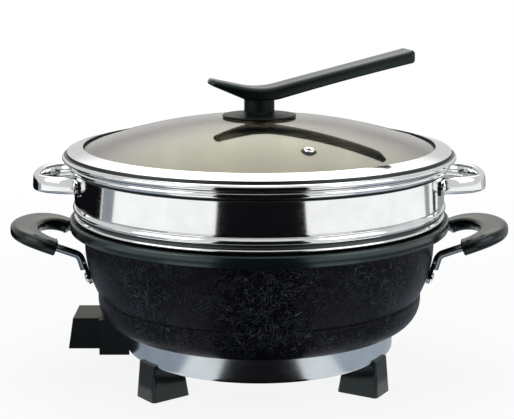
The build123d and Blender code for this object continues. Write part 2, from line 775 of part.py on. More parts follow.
def dome_level(radius, sphere):
    """Height of a sphere about the dome's centre, at that distance from the axis."""
    return dome_centre + sqrt(sphere ** 2 - radius ** 2)


def dome_arc(start, end, sphere):
    """Line of the dome's section between two distances from the axis."""
    middle = (start + end) / 2
    return ThreePointArc(
        (start, dome_level(start, sphere)), (middle, dome_level(middle, sphere)),
        (end, dome_level(end, sphere)))


def dome_ring(inside, outside, under, over):
    """Shell between two spheres about the dome's centre, between two distances from the axis."""
    return turned(
        dome_arc(inside, outside, under),
        Line((outside, dome_level(outside, under)), (outside, dome_level(outside, over))),
        dome_arc(outside, inside, over),
        Line((inside, dome_level(inside, over)), (inside, dome_level(inside, under))),
    )


def lid_glass():
    glass = dome_ring(glass_hole_d / 2, glass_radius, glass_inner_radius, dome_radius)
    hole_radius = vent_hole_d / 2 + 2 * grommet_wall + fit_gap
    return glass - vent_frame() * Cylinder(hole_radius, 4 * glass_thickness)


def lid_rim():
    roll_top = lid_seat + lid_roll_height
    band_outside = lid_radius - lid_roll_inset
    return turned(
        Polyline(
            (band_inside, dome_level(band_inside, dome_radius) + dome_gap),
            (band_inside, dome_level(band_inside, dome_radius) + dome_gap + lid_sheet),
            (band_outside - lid_sheet / 2, lid_seat + lid_band_height),
            (band_outside, roll_top)),
        ThreePointArc(
            (band_outside, roll_top), (lid_radius, lid_seat + lid_roll_height / 2), (band_outside, lid_seat)),
        Polyline(
            (band_outside, lid_seat), (lid_radius - lid_roll_inset - lid_flange_width, lid_seat),
            (lid_radius - lid_roll_inset - lid_flange_width, lid_seat + lid_sheet),
            (glass_radius + dome_gap, lid_seat + lid_sheet),
            (glass_radius + dome_gap, dome_level(glass_radius, dome_radius) + dome_gap),
            (band_inside, dome_level(band_inside, dome_radius) + dome_gap)),
    )


def lid_gasket():
    inside = glass_radius - gasket_width
    bottom = lid_seat + lid_sheet
    top_sphere = glass_inner_radius - dome_gap
    return turned(
        dome_arc(inside, glass_radius, top_sphere),
        Polyline((glass_radius, dome_level(glass_radius, top_sphere)), (glass_radius, bottom),
                 (inside, bottom), (inside, dome_level(inside, top_sphere))),
    )


def vent_frame():
    """Plane on the outside of the glass at the vent, its Z along the glass's normal."""
    lean = asin(vent_reach / dome_radius)
    direction = (sin(lean) * cos(radians(vent_angle)), sin(lean) * sin(radians(vent_angle)), cos(lean))
    origin = (direction[0] * dome_radius, direction[1] * dome_radius, dome_centre + direction[2] * dome_radius)
    return Plane(origin=origin, z_dir=direction)


def lipped_tube(bore_radius, wall, flange_radius, depth):
    """Tube with a rounded flange above Z = 0 and a turned-out end below the given depth."""
    outer = bore_radius + wall
    profile = make_face([
        *Polyline((bore_radius, wall), (bore_radius, -depth - wall), (flange_radius - wall, -depth - wall),
                  (flange_radius - wall, -depth), (outer, -depth), (outer, 0), (flange_radius, 0),
                  (flange_radius - wall, wall), (bore_radius, wall)).edges(),
    ])
    return revolve(Plane.XZ * profile, Axis.Z)


def steam_vent():
    bore = vent_hole_d / 2
    sleeve = lipped_tube(bore, grommet_wall - fit_gap, vent_flange_d / 2 - grommet_wall,
                         glass_thickness + seat_gap + 2 * grommet_wall)
    return vent_frame() * Pos(0, 0, grommet_wall) * sleeve


def vent_grommet():
    return vent_frame() * lipped_tube(
        vent_hole_d / 2 + grommet_wall, grommet_wall, vent_flange_d / 2 + grommet_wall, glass_thickness + seat_gap)


# Lever and what clamps it through the glass
stem_top = glass_top + lever_stem_height
lever_valley = stem_top + lever_root
seal_sphere = dome_radius + dome_gap
flange_sphere = seal_sphere + lever_seal_thickness + dome_gap
washer_sphere = glass_inner_radius - dome_gap
washer_bottom = dome_level(lever_washer_d / 2, washer_sphere) - lever_washer_thickness
bore_radius = lever_screw_d / 2 + fit_gap


def lever_flange():
    rim = lever_flange_d / 2
    stem = lever_stem_d / 2
    recess = lever_seal_d / 2 + fit_gap
    edge_bottom = dome_level(rim, seal_sphere)
    edge_top = edge_bottom + lever_flange_edge
    return turned(
        dome_arc(bore_radius, recess, flange_sphere),
        Line((recess, dome_level(recess, flange_sphere)), (recess, dome_level(recess, seal_sphere))),
        dome_arc(recess, rim, seal_sphere),
        ThreePointArc((rim, edge_bottom), (rim + lever_flange_edge / 4, edge_bottom + lever_flange_edge / 2),
                      (rim, edge_top)),
        Polyline((rim, edge_top), (stem + lever_flange_edge / 2, glass_top + lever_flange_rise),
                 (stem, glass_top + lever_flange_rise + lever_flange_edge / 2),
                 (stem, stem_top), (bore_radius, stem_top),
                 (bore_radius, dome_level(bore_radius, flange_sphere))),
    )


def lever_seal():
    return dome_ring(bore_radius, lever_seal_d / 2, seal_sphere, seal_sphere + lever_seal_thickness)


def lever():
    stem = lever_stem_d / 2
    short_slope = lever_short_rise / lever_short_reach
    long_slope = lever_long_rise / lever_long_reach
    valley = (0, lever_valley)
    short_top = (-lever_short_reach, lever_valley + lever_short_rise)
    long_top = (lever_long_reach, lever_valley + lever_long_rise)
    top = FilletPolyline(short_top, valley, long_top, radius=lever_valley_radius)
    under = Polyline(
        long_top,
        (lever_long_reach + lever_long_tip * long_slope, long_top[1] - lever_long_tip),
        (stem, stem_top), (-stem, stem_top),
        (-lever_short_reach - lever_short_tip * short_slope / 2, short_top[1] - lever_short_tip),
        short_top)
    side = extrude(Plane.XZ * make_face([*top.edges(), *under.edges()]), lever_long_reach, both=True)
    outline = make_face(Polyline(
        (-lever_short_reach, -lever_short_width / 2), (0, -lever_valley_width / 2),
        (lever_long_reach, -lever_long_width / 2), (lever_long_reach, lever_long_width / 2),
        (0, lever_valley_width / 2), (-lever_short_reach, lever_short_width / 2),
        (-lever_short_reach, -lever_short_width / 2)).edges())
    corners = outline.vertices().filter_by(lambda corner: abs(corner.X) > stem)
    outline = fillet(corners, lever_corner_radius)
    body = side & extrude(outline, 4 * lid_seat)
    body = fillet(body.edges(), lever_edge_radius)
    body -= disc(bore_radius, stem_top, lever_screw_bite + fit_gap)
    return turn(body, lever_yaw)


def lever_washer():
    radius = lever_washer_d / 2
    return turned(
        dome_arc(bore_radius, radius, washer_sphere),
        Polyline((radius, dome_level(radius, washer_sphere)), (radius, washer_bottom),
                 (bore_radius, washer_bottom), (bore_radius, dome_level(bore_radius, washer_sphere))),
    )


def lever_screw():
    head = disc(lever_screw_head_d / 2, washer_bottom - lever_screw_head_height, lever_screw_head_height)
    return head + disc(lever_screw_d / 2, washer_bottom, stem_top + lever_screw_bite - washer_bottom)


# Pan and base
os.makedirs("parts", exist_ok=True)
save("pan_bowl", pan_bowl())
save("base_ring", base_ring())
save("base_cover", base_cover())
for name, angle in zip(("rear_right", "rear_left", "front_left", "front_right"), foot_angles):
    save(f"foot_{name}", turn(foot(), angle))
save_group("foot_screws", [turn(foot_screw(), angle) for angle in foot_angles])
save("centre_stud", centre_stud())
save("clamp_nut", hex_nut(clamp_bottom - nut_height))
save("cover_nut", hex_nut(stud_bottom))

# Side handles
for side, angle in (("right", 0), ("left", 180)):
    save(f"handle_grip_{side}", turn(handle_grip(), angle))
    steps = (("front", -rod_angle), ("rear", rod_angle))
    for place, offset in steps:
        mirrored = offset if side == "right" else -offset
        save(f"handle_rod_{side}_{place}", turn(handle_rod(), angle + mirrored))
save_group("handle_rivets", [turn(handle_rivet(), angle) for angle in rod_angles])

# Heating and wiring
save("heating_element", heating_element())
save("element_clamp", element_clamp())
save_group("element_terminals", [element_terminal(y) for y in (-element_leg_offset, element_leg_offset)])
save("probe_sleeve", probe_sleeve())
save("thermal_fuse", thermal_fuse())
save("fuse_clip", fuse_clip())
save("lead_live", rod_along_x(pin_inner_end, fuse_outer, lead_d, element_leg_offset, pin_level))
save("lead_fused", rod_along_x(fuse_inner, terminal_outer, lead_d, element_leg_offset, pin_level))
save("lead_neutral", rod_along_x(pin_inner_end, terminal_outer, lead_d, -element_leg_offset, pin_level))
save("earth_strap", earth_strap())

# Inlet
save("inlet_box", inlet_box())
save("inlet_shroud", inlet_shroud())
save_group("inlet_pins", [inlet_pin(y) for y in (-element_leg_offset, element_leg_offset)])
save("earth_pin", earth_pin())
save_group("box_screws", [box_screw(side) for side in (-1, 1)])
save_group("shroud_screws", [shroud_screw(side) for side in (-1, 1)])

# Steamer tier
save("steamer_wall", steamer_wall())
save("steamer_floor", steamer_floor())
for side, angle in (("right", 0), ("left", 180)):
    save(f"steamer_handle_{side}", turn(steamer_handle(), angle))
save_group("steamer_rivets", [turn(loop_rivet(), angle) for angle in loop_rivet_angles])

# Lid
save("lid_glass", lid_glass())
save("lid_rim", lid_rim())
save("lid_gasket", lid_gasket())
save("steam_vent", steam_vent())
save("vent_grommet", vent_grommet())
save("lid_handle_flange", lever_flange())
save("lid_handle", lever())
save("lid_handle_seal", lever_seal())
save("lid_handle_washer", lever_washer())
save("lid_handle_screw", lever_screw())
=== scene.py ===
"""Looks of an electric pan with a steamer tier and a glass lid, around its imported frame."""

import math

import bpy
from bpy.props import FloatProperty, FloatVectorProperty, IntProperty, PointerProperty
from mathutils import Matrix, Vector


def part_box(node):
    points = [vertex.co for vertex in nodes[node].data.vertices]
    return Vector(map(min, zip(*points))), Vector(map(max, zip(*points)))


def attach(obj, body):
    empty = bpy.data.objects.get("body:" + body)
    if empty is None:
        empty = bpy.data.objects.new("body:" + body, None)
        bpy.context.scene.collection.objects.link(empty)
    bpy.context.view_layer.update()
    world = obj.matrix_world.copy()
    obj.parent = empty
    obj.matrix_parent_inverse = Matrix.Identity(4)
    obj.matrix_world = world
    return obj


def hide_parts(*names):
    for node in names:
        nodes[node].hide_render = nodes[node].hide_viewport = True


bl_info = {
    "name": "Electric Pan Looks",
    "version": (1, 0, 0),
    "blender": (4, 5, 0),
    "location": "View3D > Sidebar > Pan",
    "description": "Shells, handles, finishes and stage of an electric pan with a steamer tier",
    "category": "Add Mesh",
}

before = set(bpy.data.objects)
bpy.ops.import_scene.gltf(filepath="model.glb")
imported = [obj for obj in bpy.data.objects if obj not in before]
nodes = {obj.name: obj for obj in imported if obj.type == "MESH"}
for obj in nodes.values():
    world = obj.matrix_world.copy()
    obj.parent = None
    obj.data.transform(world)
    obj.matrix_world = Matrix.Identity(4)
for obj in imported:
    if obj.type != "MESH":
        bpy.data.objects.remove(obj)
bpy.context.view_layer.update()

PHOTO_WIDTH = 514
FOOT_ANGLES = (37.7, 149.7, 217.7, 329.7)
MERGE_DISTANCE = 1e-6
FLAG_LEVEL = 0.003
SOFTBOX_EDGE = 0.84


def length(name, description, default):
    """A size in metres."""
    return FloatProperty(
        name=name, description=description, default=default, min=0.0, unit="LENGTH", precision=4)


def tint(name, description, default):
    """A colour, in linear light."""
    return FloatVectorProperty(
        name=name, description=description, default=default, subtype="COLOR", size=3, min=0.0, max=1.0)


def share(name, description, default):
    """A value from 0 to 1."""
    return FloatProperty(
        name=name, description=description, default=default, min=0.0, max=1.0, subtype="FACTOR")


def slant(name, description, degrees):
    """An angle, its default given in degrees."""
    return FloatProperty(
        name=name, description=description, default=math.radians(degrees), subtype="ANGLE")


def wattage(name, description, default):
    """The power of a lamp in watts."""
    return FloatProperty(name=name, description=description, default=default, min=0.0, unit="POWER")


class PanSizes(bpy.types.PropertyGroup):
    """Sizes of the modelled pieces."""

    turn_steps: IntProperty(
        name="Turn steps", description="Faces round each turned shell", default=224, min=24)
    bowl_low: length("Lower radius", "Outer radius of the bowl below its crease", 0.1355)
    bowl_neck: length("Neck radius", "Outer radius of the bowl's neck", 0.1455)
    bowl_rim: length("Rim radius", "Outer radius of the bowl's rim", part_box("pan_bowl")[1].x)
    bowl_top: length("Rim top", "Height of the bowl's rim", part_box("pan_bowl")[1].z)
    bowl_bottom: length("Bowl underside", "Height of the bowl's underside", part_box("pan_bowl")[0].z)
    bowl_wall: length("Bowl wall", "Thickness of the bowl's wall", 0.0025)
    bowl_corner: length("Bowl corner", "Radius where the bowl turns under", 0.022)
    crease_height: length("Crease height", "Height of the crease in the bowl's wall", 0.0735)
    crease_step: length("Crease step", "Width of the crease's ledge", 0.0012)
    neck_drop: length("Neck drop", "Rim top to where the wall starts to draw in", 0.022)
    band_height: length("Rim band", "Height of the rim's band", 0.009)
    band_bulge: length("Band bulge", "How far the rim's band swells", 0.0005)
    ring_bottom: length("Ring bottom", "Height of the base ring's lower edge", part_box("base_ring")[0].z)
    ring_radius: length("Ring radius", "Outer radius of the base ring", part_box("base_ring")[1].x)
    ring_flange: length("Ring flange", "Width of the base ring's bottom flange", 0.038)
    foot_depth: length("Foot depth", "Depth of a foot at its top", 0.027)
    foot_top: length("Foot top", "Width of a foot at its top", 0.022)
    foot_sole: length("Foot sole", "Width of a foot's sole", 0.026)
    foot_flare: length("Foot flare", "How far a foot's sole stands out past the ring", 0.0045)
    foot_round: length("Foot rounding", "Radius of a foot's upright edges", 0.0032)
    foot_lip: length("Foot lip", "How far a foot's lip stands out of the ring", 0.002)
    foot_lip_height: length("Lip rise", "Height of a foot's lip over the ring's lower edge", 0.003)
    tier_radius: length("Tier radius", "Outer radius of the steamer's wall", 0.153)
    tier_lip: length("Tier lip", "Outer radius of the steamer's top lip", 0.1575)
    tier_lip_height: length("Lip height", "Height of the steamer's rolled lip", 0.0066)
    tier_sheet: length("Tier sheet", "Thickness of the steamer's sheet", 0.0012)
    tier_top: length("Tier top", "Height of the steamer's top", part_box("steamer_wall")[1].z)
    tier_bottom: length("Tier bottom", "Height of the spigot's lower end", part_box("steamer_wall")[0].z)
    spigot_radius: length("Spigot radius", "Outer radius of the steamer's spigot", 0.1425)
    spigot_ledge: length("Spigot ledge", "Width of the ledge that carries the steamer's floor", 0.008)
    loop_reach: length(
        "Loop reach", "Pan's axis to the outside of a loop handle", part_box("steamer_handle_right")[1].x)
    loop_middle: length("Loop middle", "Pan's axis to the middle of a loop's curve", 0.1325)
    loop_half: length("Loop half width", "Half the width of a loop handle", 0.045)
    loop_band: length("Loop band", "Thickness of a loop handle", 0.008)
    loop_height: length("Loop height", "Height of a loop handle's band", 0.0135)
    loop_draft: share("Loop draft", "Share by which a loop's band is thinner at its top", 0.30)
    loop_level: length("Loop level", "Height of a loop handle's middle",
                       (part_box("steamer_handle_right")[0].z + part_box("steamer_handle_right")[1].z) / 2)
    loop_tab: length("Loop tab", "Length of a loop's tab from the middle of its leg", 0.015)
    loop_tab_sheet: length("Tab sheet", "Thickness of a loop's tab", 0.0016)
    lid_radius: length("Lid radius", "Outer radius of the lid's rolled edge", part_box("lid_rim")[1].y)
    lid_roll_height: length("Lid roll", "Height of the lid's rolled edge", 0.0054)
    lid_band_inner: length("Lid band", "Inner radius of the lid's flat band", 0.145)
    glass_radius: length("Glass radius", "Outer radius of the glass", 0.153)
    glass_thickness: length("Glass thickness", "Thickness of the glass", 0.004)
    dome_radius: length("Dome radius", "Radius of the glass dome", 0.435)
    dome_top: length("Dome top", "Height of the glass dome", 0.22108)
    vent_reach: length("Vent reach", "Pan's axis to the steam vent", 0.109)
    vent_angle: slant("Vent angle", "Bearing of the steam vent", -70)
    vent_hole: length("Vent hole", "Radius of the steam vent's hole", 0.0022)
    vent_flange: length("Vent flange", "Radius of the steam vent's flange", 0.0044)
    grip_reach: length("Grip reach", "Leg end to the crossbar's tip", 0.0425)
    grip_half: length("Grip half width", "Half the grip's width", 0.050)
    grip_bow: length("Grip bow", "Depth of the grip's outer curve", 0.0365)
    grip_gap: length("Gap bow", "Depth of the curve inside the grip", 0.0185)
    grip_leg: length("Leg width", "Width of a grip's leg", 0.0175)
    grip_bar: length("Bar width", "Width of the grip's crossbar", 0.023)
    grip_thickness: length("Grip thickness", "Thickness of the grip", 0.012)
    grip_rise: length("Grip rise", "Crossbar's tip over the leg's end", 0.0088)
    leg_reach: length("Leg reach", "Pan's axis to a leg's end, along X", 0.1655)
    leg_level: length("Leg level", "Height of a leg's end", 0.1188)
    rod_slope: slant("Rod slope", "Slope of rod and leg", 22)
    rod_inset: length("Rod inset", "Grip's outside to the middle of a rod", 0.0105)
    lever_yaw: slant("Lever yaw", "Turn of the lever", 12)
    lever_root: length("Lever root", "Thickness over the stem", 0.0084)
    lever_stem: length("Lever stem", "Radius of the stem under the lever", 0.0125)
    lever_short_reach: length("Short reach", "Reach of the short arm", 0.0425)
    lever_short_rise: length("Short rise", "Rise of the short arm", 0.0096)
    lever_short_width: length("Short width", "Width of the short arm's end", 0.019)
    lever_short_tip: length("Short tip", "Thickness of the short arm's end", 0.005)
    lever_long_reach: length("Long reach", "Reach of the long arm", 0.130)
    lever_long_rise: length("Long rise", "Rise of the long arm", 0.0308)
    lever_long_width: length("Long width", "Width of the long arm's end", 0.031)
    lever_long_tip: length("Long tip", "Thickness of the long arm's end", 0.0105)
    lever_valley_width: length("Valley width", "Width of the lever over its stem", 0.026)
    lever_blend: length("Valley blend", "Half length of the bend between the arms", 0.014)
    lever_bow: length("Lever bow", "Upward bow of the long arm's underside", 0.0008)
    lever_corner: length("Lever corner", "Radius of the ends seen from above", 0.006)
    lever_soft: length("Soft top", "Width of the rounding along the top", 0.0038)
    lever_under: length("Soft underside", "Width of the rounding along the underside", 0.0016)


class PanFinishes(bpy.types.PropertyGroup):
    """Colours of the finishes."""

    steel: tint("Mirror steel", "Polished steel of the steamer and lid", (0.90, 0.915, 0.915))
    # Painted shade: this dark colour stands in for the shade in the creases of the steamer and lid; only the
    # rougher gloss that goes with it is the steel's own.
    crease: tint("Crease", "Unpolished steel in the creases of the steamer and lid", (0.060, 0.072, 0.070))
    # Painted reflection: this dark colour stands in for the dark surroundings that the rods' polished steel
    # mirrors.
    rod: tint("Rod steel", "Dark plated steel of the side handles' rods", (0.24, 0.27, 0.29))
    satin: tint("Satin steel", "Satin steel of the base ring", (0.62, 0.67, 0.70))
    coat: tint("Coating", "Ground of the bowl's coating", (0.0015, 0.0020, 0.0034))
    # Partly painted glint: the strokes are a real raised pattern, but their lighter colour also stands in
    # for the glints they catch.
    stroke: tint("Strokes", "Raised strokes in the bowl's coating", (0.046, 0.053, 0.072))
    rim_coat: tint("Rim coating", "Plain coating on the bowl's rim", (0.002, 0.005, 0.0055))
    plastic: tint("Plastic", "Black plastic of grips, feet and lever", (0.003, 0.004, 0.004))
    glass: tint("Glass", "Warm tint of the lid's glass", (0.42, 0.385, 0.315))
    sheen: tint("Sheen", "Cool tint of the shine on plastic and rim", (0.80, 1.0, 0.98))
    rubber: tint("Rubber", "Silicone seals", (0.020, 0.020, 0.021))
    brass: tint("Brass", "Pins, terminals and strap", (0.60, 0.42, 0.16))
    zinc: tint("Zinc", "Plated screws, nuts and clips", (0.46, 0.47, 0.49))
    sheath: tint("Element sheath", "Heat-darkened sheath of the element", (0.12, 0.11, 0.105))
    ceramic: tint("Ceramic", "Body of the thermal fuse", (0.68, 0.65, 0.58))
    sleeving: tint("Sleeving", "Heat-proof cover of the leads", (0.42, 0.36, 0.27))


class PanStage(bpy.types.PropertyGroup):
    """Camera, lamps and surroundings."""

    lens: FloatProperty(
        name="Lens", description="Focal length in mm", default=92.2, subtype="DISTANCE_CAMERA")
    distance: length("Distance", "Camera to the point it looks at", 1.103)
    aim_height: length("Aim height", "Height on the pan's axis that the camera looks at", 0.1419)
    elevation: slant("Elevation", "Camera above the horizon", 11.54)
    side_pixels: FloatProperty(
        name="Side shift", description="Pan's axis right of the picture's middle, in pixels", default=2.3)
    ambient: share("Ambient", "Strength of the even light", 0.55)
    sky: share("Mirrored sky", "Strength of the sky that polished surfaces mirror", 0.66)
    softbox: FloatProperty(
        name="Softbox", default=2.3, min=0.0,
        description="Strength of the soft light behind and above that polished surfaces mirror")
    softbox_rise: slant("Softbox rise", "Height of that soft light over the horizon", 44)
    softbox_tint: tint("Softbox tint", "Colour of that soft light", (1.0, 0.98, 0.82))
    key: wattage("Side lamps", "Power of each side lamp", 9.0)
    overhead: wattage("Overhead lamp", "Power of the overhead lamp", 10.0)
    floor_glow: share("Floor glow", "Share of the floor round the pan that stays white in the picture", 0.86)


def leave_editing():
    """Closes whatever is open for editing."""
    if bpy.context.mode != "OBJECT":
        bpy.ops.object.mode_set(mode="OBJECT")


def only(piece):
    """Makes one piece the whole selection and the active object."""
    leave_editing()
    bpy.ops.object.select_all(action="DESELECT")
    piece.select_set(True)
    bpy.context.view_layer.objects.active = piece


def add(name, primitive, **measures):
    """A primitive under its name, to be shaped."""
    leave_editing()
    bpy.ops.object.select_all(action="DESELECT")
    primitive(**measures)
    piece = bpy.context.object
    piece.name = name
    piece.data.name = name
    return piece


def open_all(piece):
    """Opens a piece for editing, selected all over."""
    only(piece)
    bpy.ops.object.mode_set(mode="EDIT")
    bpy.ops.mesh.select_mode(type="VERT")
    bpy.ops.mesh.select_all(action="SELECT")


def open_where(piece, kind, wanted):
    """Opens a piece for editing with only its wanted edges or faces selected."""
    only(piece)
    bpy.ops.object.mode_set(mode="EDIT")
    bpy.ops.mesh.select_mode(type=kind)
    bpy.ops.mesh.select_all(action="DESELECT")
    bpy.ops.object.mode_set(mode="OBJECT")
    for part in piece.data.edges if kind == "EDGE" else piece.data.polygons:
        part.select = wanted(part)
    bpy.ops.object.mode_set(mode="EDIT")


def edges_where(piece, wanted):
    """Opens a piece for editing with its edges selected by the places of their two ends."""
    open_where(piece, "EDGE", lambda edge: wanted(*[piece.data.vertices[end].co for end in edge.vertices]))


def closed(piece, smooth_angle=35):
    """Merges a piece's doubles, turns its faces outwards and shades it."""
    open_all(piece)
    bpy.ops.mesh.remove_doubles(threshold=MERGE_DISTANCE)
    bpy.ops.mesh.delete_loose()
    bpy.ops.mesh.select_all(action="SELECT")
    bpy.ops.mesh.normals_make_consistent(inside=False)
    bpy.ops.object.mode_set(mode="OBJECT")
    bpy.ops.object.shade_smooth_by_angle(angle=math.radians(smooth_angle))


def turn_piece(piece, axis, angle):
    """Turns a piece's mesh about the origin, anticlockwise as seen against the axis."""
    open_all(piece)
    bpy.ops.transform.rotate(value=-angle, orient_axis=axis, center_override=(0.0, 0.0, 0.0))
    bpy.ops.object.mode_set(mode="OBJECT")


def raise_piece(piece, rise):
    """Moves a piece's mesh up."""
    open_all(piece)
    bpy.ops.transform.translate(value=(0.0, 0.0, rise))
    bpy.ops.object.mode_set(mode="OBJECT")


def arc(centre, radius, start, end, steps):
    """Points (radius, height) on an arc, angles in degrees from outwards to up."""
    angles = [math.radians(start + (end - start) * step / steps) for step in range(steps + 1)]
    return [(centre[0] + radius * math.cos(angle), centre[1] + radius * math.sin(angle)) for angle in angles]


def eased(corners, steps=5):
    """Outline with each corner (radius, height, rounding) eased to an arc."""
    points = []
    for index, (across, up, rounding) in enumerate(corners):
        here = Vector((across, up))
        if not rounding:
            points.append((across, up))
            continue
        before = Vector(corners[index - 1][:2]) - here
        after = Vector(corners[(index + 1) % len(corners)][:2]) - here
        rounding = min(rounding, before.length * 0.49, after.length * 0.49)
        before.normalize()
        after.normalize()
        for step in range(steps + 1):
            part = step / steps
            near = here + before * rounding * (1 - part)
            far = here + after * rounding * part
            points.append(tuple(near.lerp(far, part)))
    return points


def turned(name, outline, smooth_angle=40):
    """A closed outline of (radius, height) points turned about the pan's axis."""
    piece = add(
        name, bpy.ops.mesh.primitive_circle_add, vertices=len(outline), radius=1.0, fill_type="NOTHING")
    for vertex, (radius, height) in zip(piece.data.vertices, outline):
        vertex.co = (radius, 0.0, height)
    open_all(piece)
    steps = bpy.context.scene.pan_sizes.turn_steps
    bpy.ops.mesh.spin(steps=steps, angle=2 * math.pi, center=(0, 0, 0), axis=(0, 0, 1))
    closed(piece, smooth_angle)
    return piece


def shaped_torus(name, around, place):
    """A torus whose points are placed by their bearing and by their turn round the section."""
    piece = add(name, bpy.ops.mesh.primitive_torus_add, major_segments=around, minor_segments=28,
                major_radius=1.0, minor_radius=0.25)
    for vertex in piece.data.vertices:
        bearing = math.atan2(vertex.co.y, vertex.co.x)
        turn = math.atan2(vertex.co.z, math.hypot(vertex.co.x, vertex.co.y) - 1.0)
        vertex.co = place(bearing, turn)
    return piece


def rounded_section(turn, power):
    """Point of a squarish round section at an angle, each way from -1 to 1."""
    return [math.copysign(abs(part) ** (2 / power), part) for part in (math.cos(turn), math.sin(turn))]


def cut_leg(piece, leg, place, outward):
    """Cuts one leg of a handle off at a place, leaves what is outward of it and closes the end."""
    open_where(piece, "FACE", lambda face: face.center.y * leg > 0)
    bpy.ops.mesh.bisect(
        plane_co=place, plane_no=outward, clear_inner=True, use_fill=True, threshold=MERGE_DISTANCE)


def add_block(name, axis, cuts):
    """A unit cube divided along one axis, to be shaped."""
    block = add(name, bpy.ops.mesh.primitive_cube_add, size=1.0)
    edges_where(block, lambda one, two: abs(one[axis] - two[axis]) > 0.5)
    bpy.ops.mesh.subdivide(number_cuts=cuts)
    bpy.ops.object.mode_set(mode="OBJECT")
    return block


def soft_edges(piece, width, angle):
    """Rounds a piece's edges that are sharper than an angle, with a modifier whose name it gives."""
    edges = piece.modifiers.new("soft edges", "BEVEL")
    edges.width = width
    edges.segments = 3
    edges.limit_method = "ANGLE"
    edges.angle_limit = math.radians(angle)
    return edges.name


def soften_nodes(names, width):
    """Rounds the sharp edges of CAD nodes that stay in view."""
    for name in names:
        nodes[name].modifiers.new("joined", "WELD").merge_threshold = 1e-5
        soft_edges(nodes[name], width, 40)


def dress(piece, material):
    """Gives a piece one material."""
    piece.data.materials.clear()
    piece.data.materials.append(material)


def dress_where(piece, material, wanted):
    """Gives a turned piece a second material where a face's middle (radius, height) is wanted."""
    piece.data.materials.append(material)
    for face in piece.data.polygons:
        if wanted(face.center.xy.length, face.center.z):
            face.material_index = 1


def dress_nodes(names, material):
    """Gives CAD nodes that stay in view one material."""
    for name in names:
        dress(nodes[name], material)


def take_place(piece, body, slot, material, *stood_for):
    """Rides a finished piece on its body in place of the nodes that it stands for."""
    dress(piece, material)
    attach(piece, body)
    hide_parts(*stood_for)


def give(tree, node, values):
    """Gives a node's sockets a value each, or links them to another node's socket."""
    for socket, value in values.items():
        if isinstance(value, bpy.types.NodeSocket):
            tree.links.new(value, node.inputs[socket])
        else:
            node.inputs[socket].default_value = value


def wired(tree, kind, values=None, **settings):
    """Outputs of a new shader node that has its settings, and its sockets given or linked."""
    node = tree.nodes.new(f"ShaderNode{kind}")
    for setting, value in settings.items():
        setattr(node, setting, value)
    give(tree, node, values or {})
    return node.outputs


def figure(tree, operation, one, two):
    """Result of a math node from two values, each a number or a socket."""
    return wired(tree, "Math", {0: one, 1: two}, operation=operation)["Value"]


def smooth_range(tree, value, low, high, least=0.0, most=1.0):
    """A value between two limits, brought smoothly to between two others."""
    limits = {"Value": value, "From Min": low, "From Max": high, "To Min": least, "To Max": most}
    return wired(tree, "MapRange", limits, interpolation_type="SMOOTHSTEP")["Result"]


def shared_group(name, inputs, outputs, build):
    """A shader node group with named values, built when it is first asked for."""
    if name in bpy.data.node_groups:
        return bpy.data.node_groups[name]
    group = bpy.data.node_groups.new(name, "ShaderNodeTree")
    for socket, default in inputs.items():
        made = group.interface.new_socket(name=socket, in_out="INPUT", socket_type="NodeSocketFloat")
        made.default_value = default
    for socket in outputs:
        group.interface.new_socket(name=socket, in_out="OUTPUT", socket_type="NodeSocketFloat")
    given = group.nodes.new("NodeGroupInput").outputs
    give(group, group.nodes.new("NodeGroupOutput"), dict(zip(outputs, build(group, given))))
    return group


def spread_noise(group, given, noise):
    """Noise spread between a group's two limits, and the noise itself as a height."""
    limits = {"From Min": 0.3, "From Max": 0.7, "To Min": given["Low"], "To Max": given["High"]}
    return wired(group, "MapRange", {"Value": noise, **limits})["Result"], noise


def fine_grain():
    """Group: soft irregular grain, as a value between two limits and a height."""
    def build(group, given):
        place = wired(group, "TexCoord")["Object"]
        noise = wired(group, "TexNoise", {"Vector": place, "Scale": given["Scale"], "Detail": 4.0})
        return spread_noise(group, given, noise["Fac"])

    inputs = {"Scale": 400.0, "Low": 0.1, "High": 0.2}
    return shared_group("Fine Grain", inputs, ("Value", "Height"), build)


def turning_lines():
    """Group: fine lines round the pan's axis, as left by polishing on a lathe."""
    def build(group, given):
        place = wired(group, "TexCoord")["Object"]
        level = wired(group, "SeparateXYZ", {"Vector": place})["Z"]
        flat = wired(group, "VectorMath", {0: place, 1: (1.0, 1.0, 0.0)}, operation="MULTIPLY")["Vector"]
        reach = wired(group, "VectorMath", {0: flat}, operation="LENGTH")["Value"]
        dense = figure(group, "MULTIPLY", figure(group, "ADD", reach, level), given["Density"])
        noise = wired(group, "TexNoise", {"W": dense, "Scale": 1.0, "Detail": 5.0}, noise_dimensions="1D")
        return spread_noise(group, given, noise["Fac"])

    inputs = {"Density": 900.0, "Low": 0.1, "High": 0.2}
    return shared_group("Turning Lines", inputs, ("Value", "Height"), build)


def swirled_strokes():
    """Group: hair-fine curved strokes in short lengths, gathered in patches, as a mask."""
    def build(group, given):
        place = wired(group, "TexCoord")["Object"]

        def cloud(scale, detail):
            values = {"Vector": place, "W": given["Seed"], "Scale": scale, "Detail": detail}
            return wired(group, "TexNoise", values, noise_dimensions="4D")["Fac"]

        rows = figure(group, "MULTIPLY", cloud(given["Scale"], 0.0), given["Rows"])
        line = smooth_range(group, figure(group, "PINGPONG", rows, 0.5), 0.12, 0.0)
        lengths = smooth_range(group, cloud(180.0, 0.0), 0.47, 0.60)
        low = figure(group, "SUBTRACT", given["Cover"], 0.05)
        high = figure(group, "ADD", given["Cover"], 0.09)
        patches = smooth_range(group, cloud(46.0, 1.5), low, high)
        return [figure(group, "MULTIPLY", figure(group, "MULTIPLY", line, lengths), patches)]

    inputs = {"Scale": 45.0, "Rows": 10.0, "Seed": 0.0, "Cover": 0.5}
    return shared_group("Swirled Strokes", inputs, ("Mask",), build)


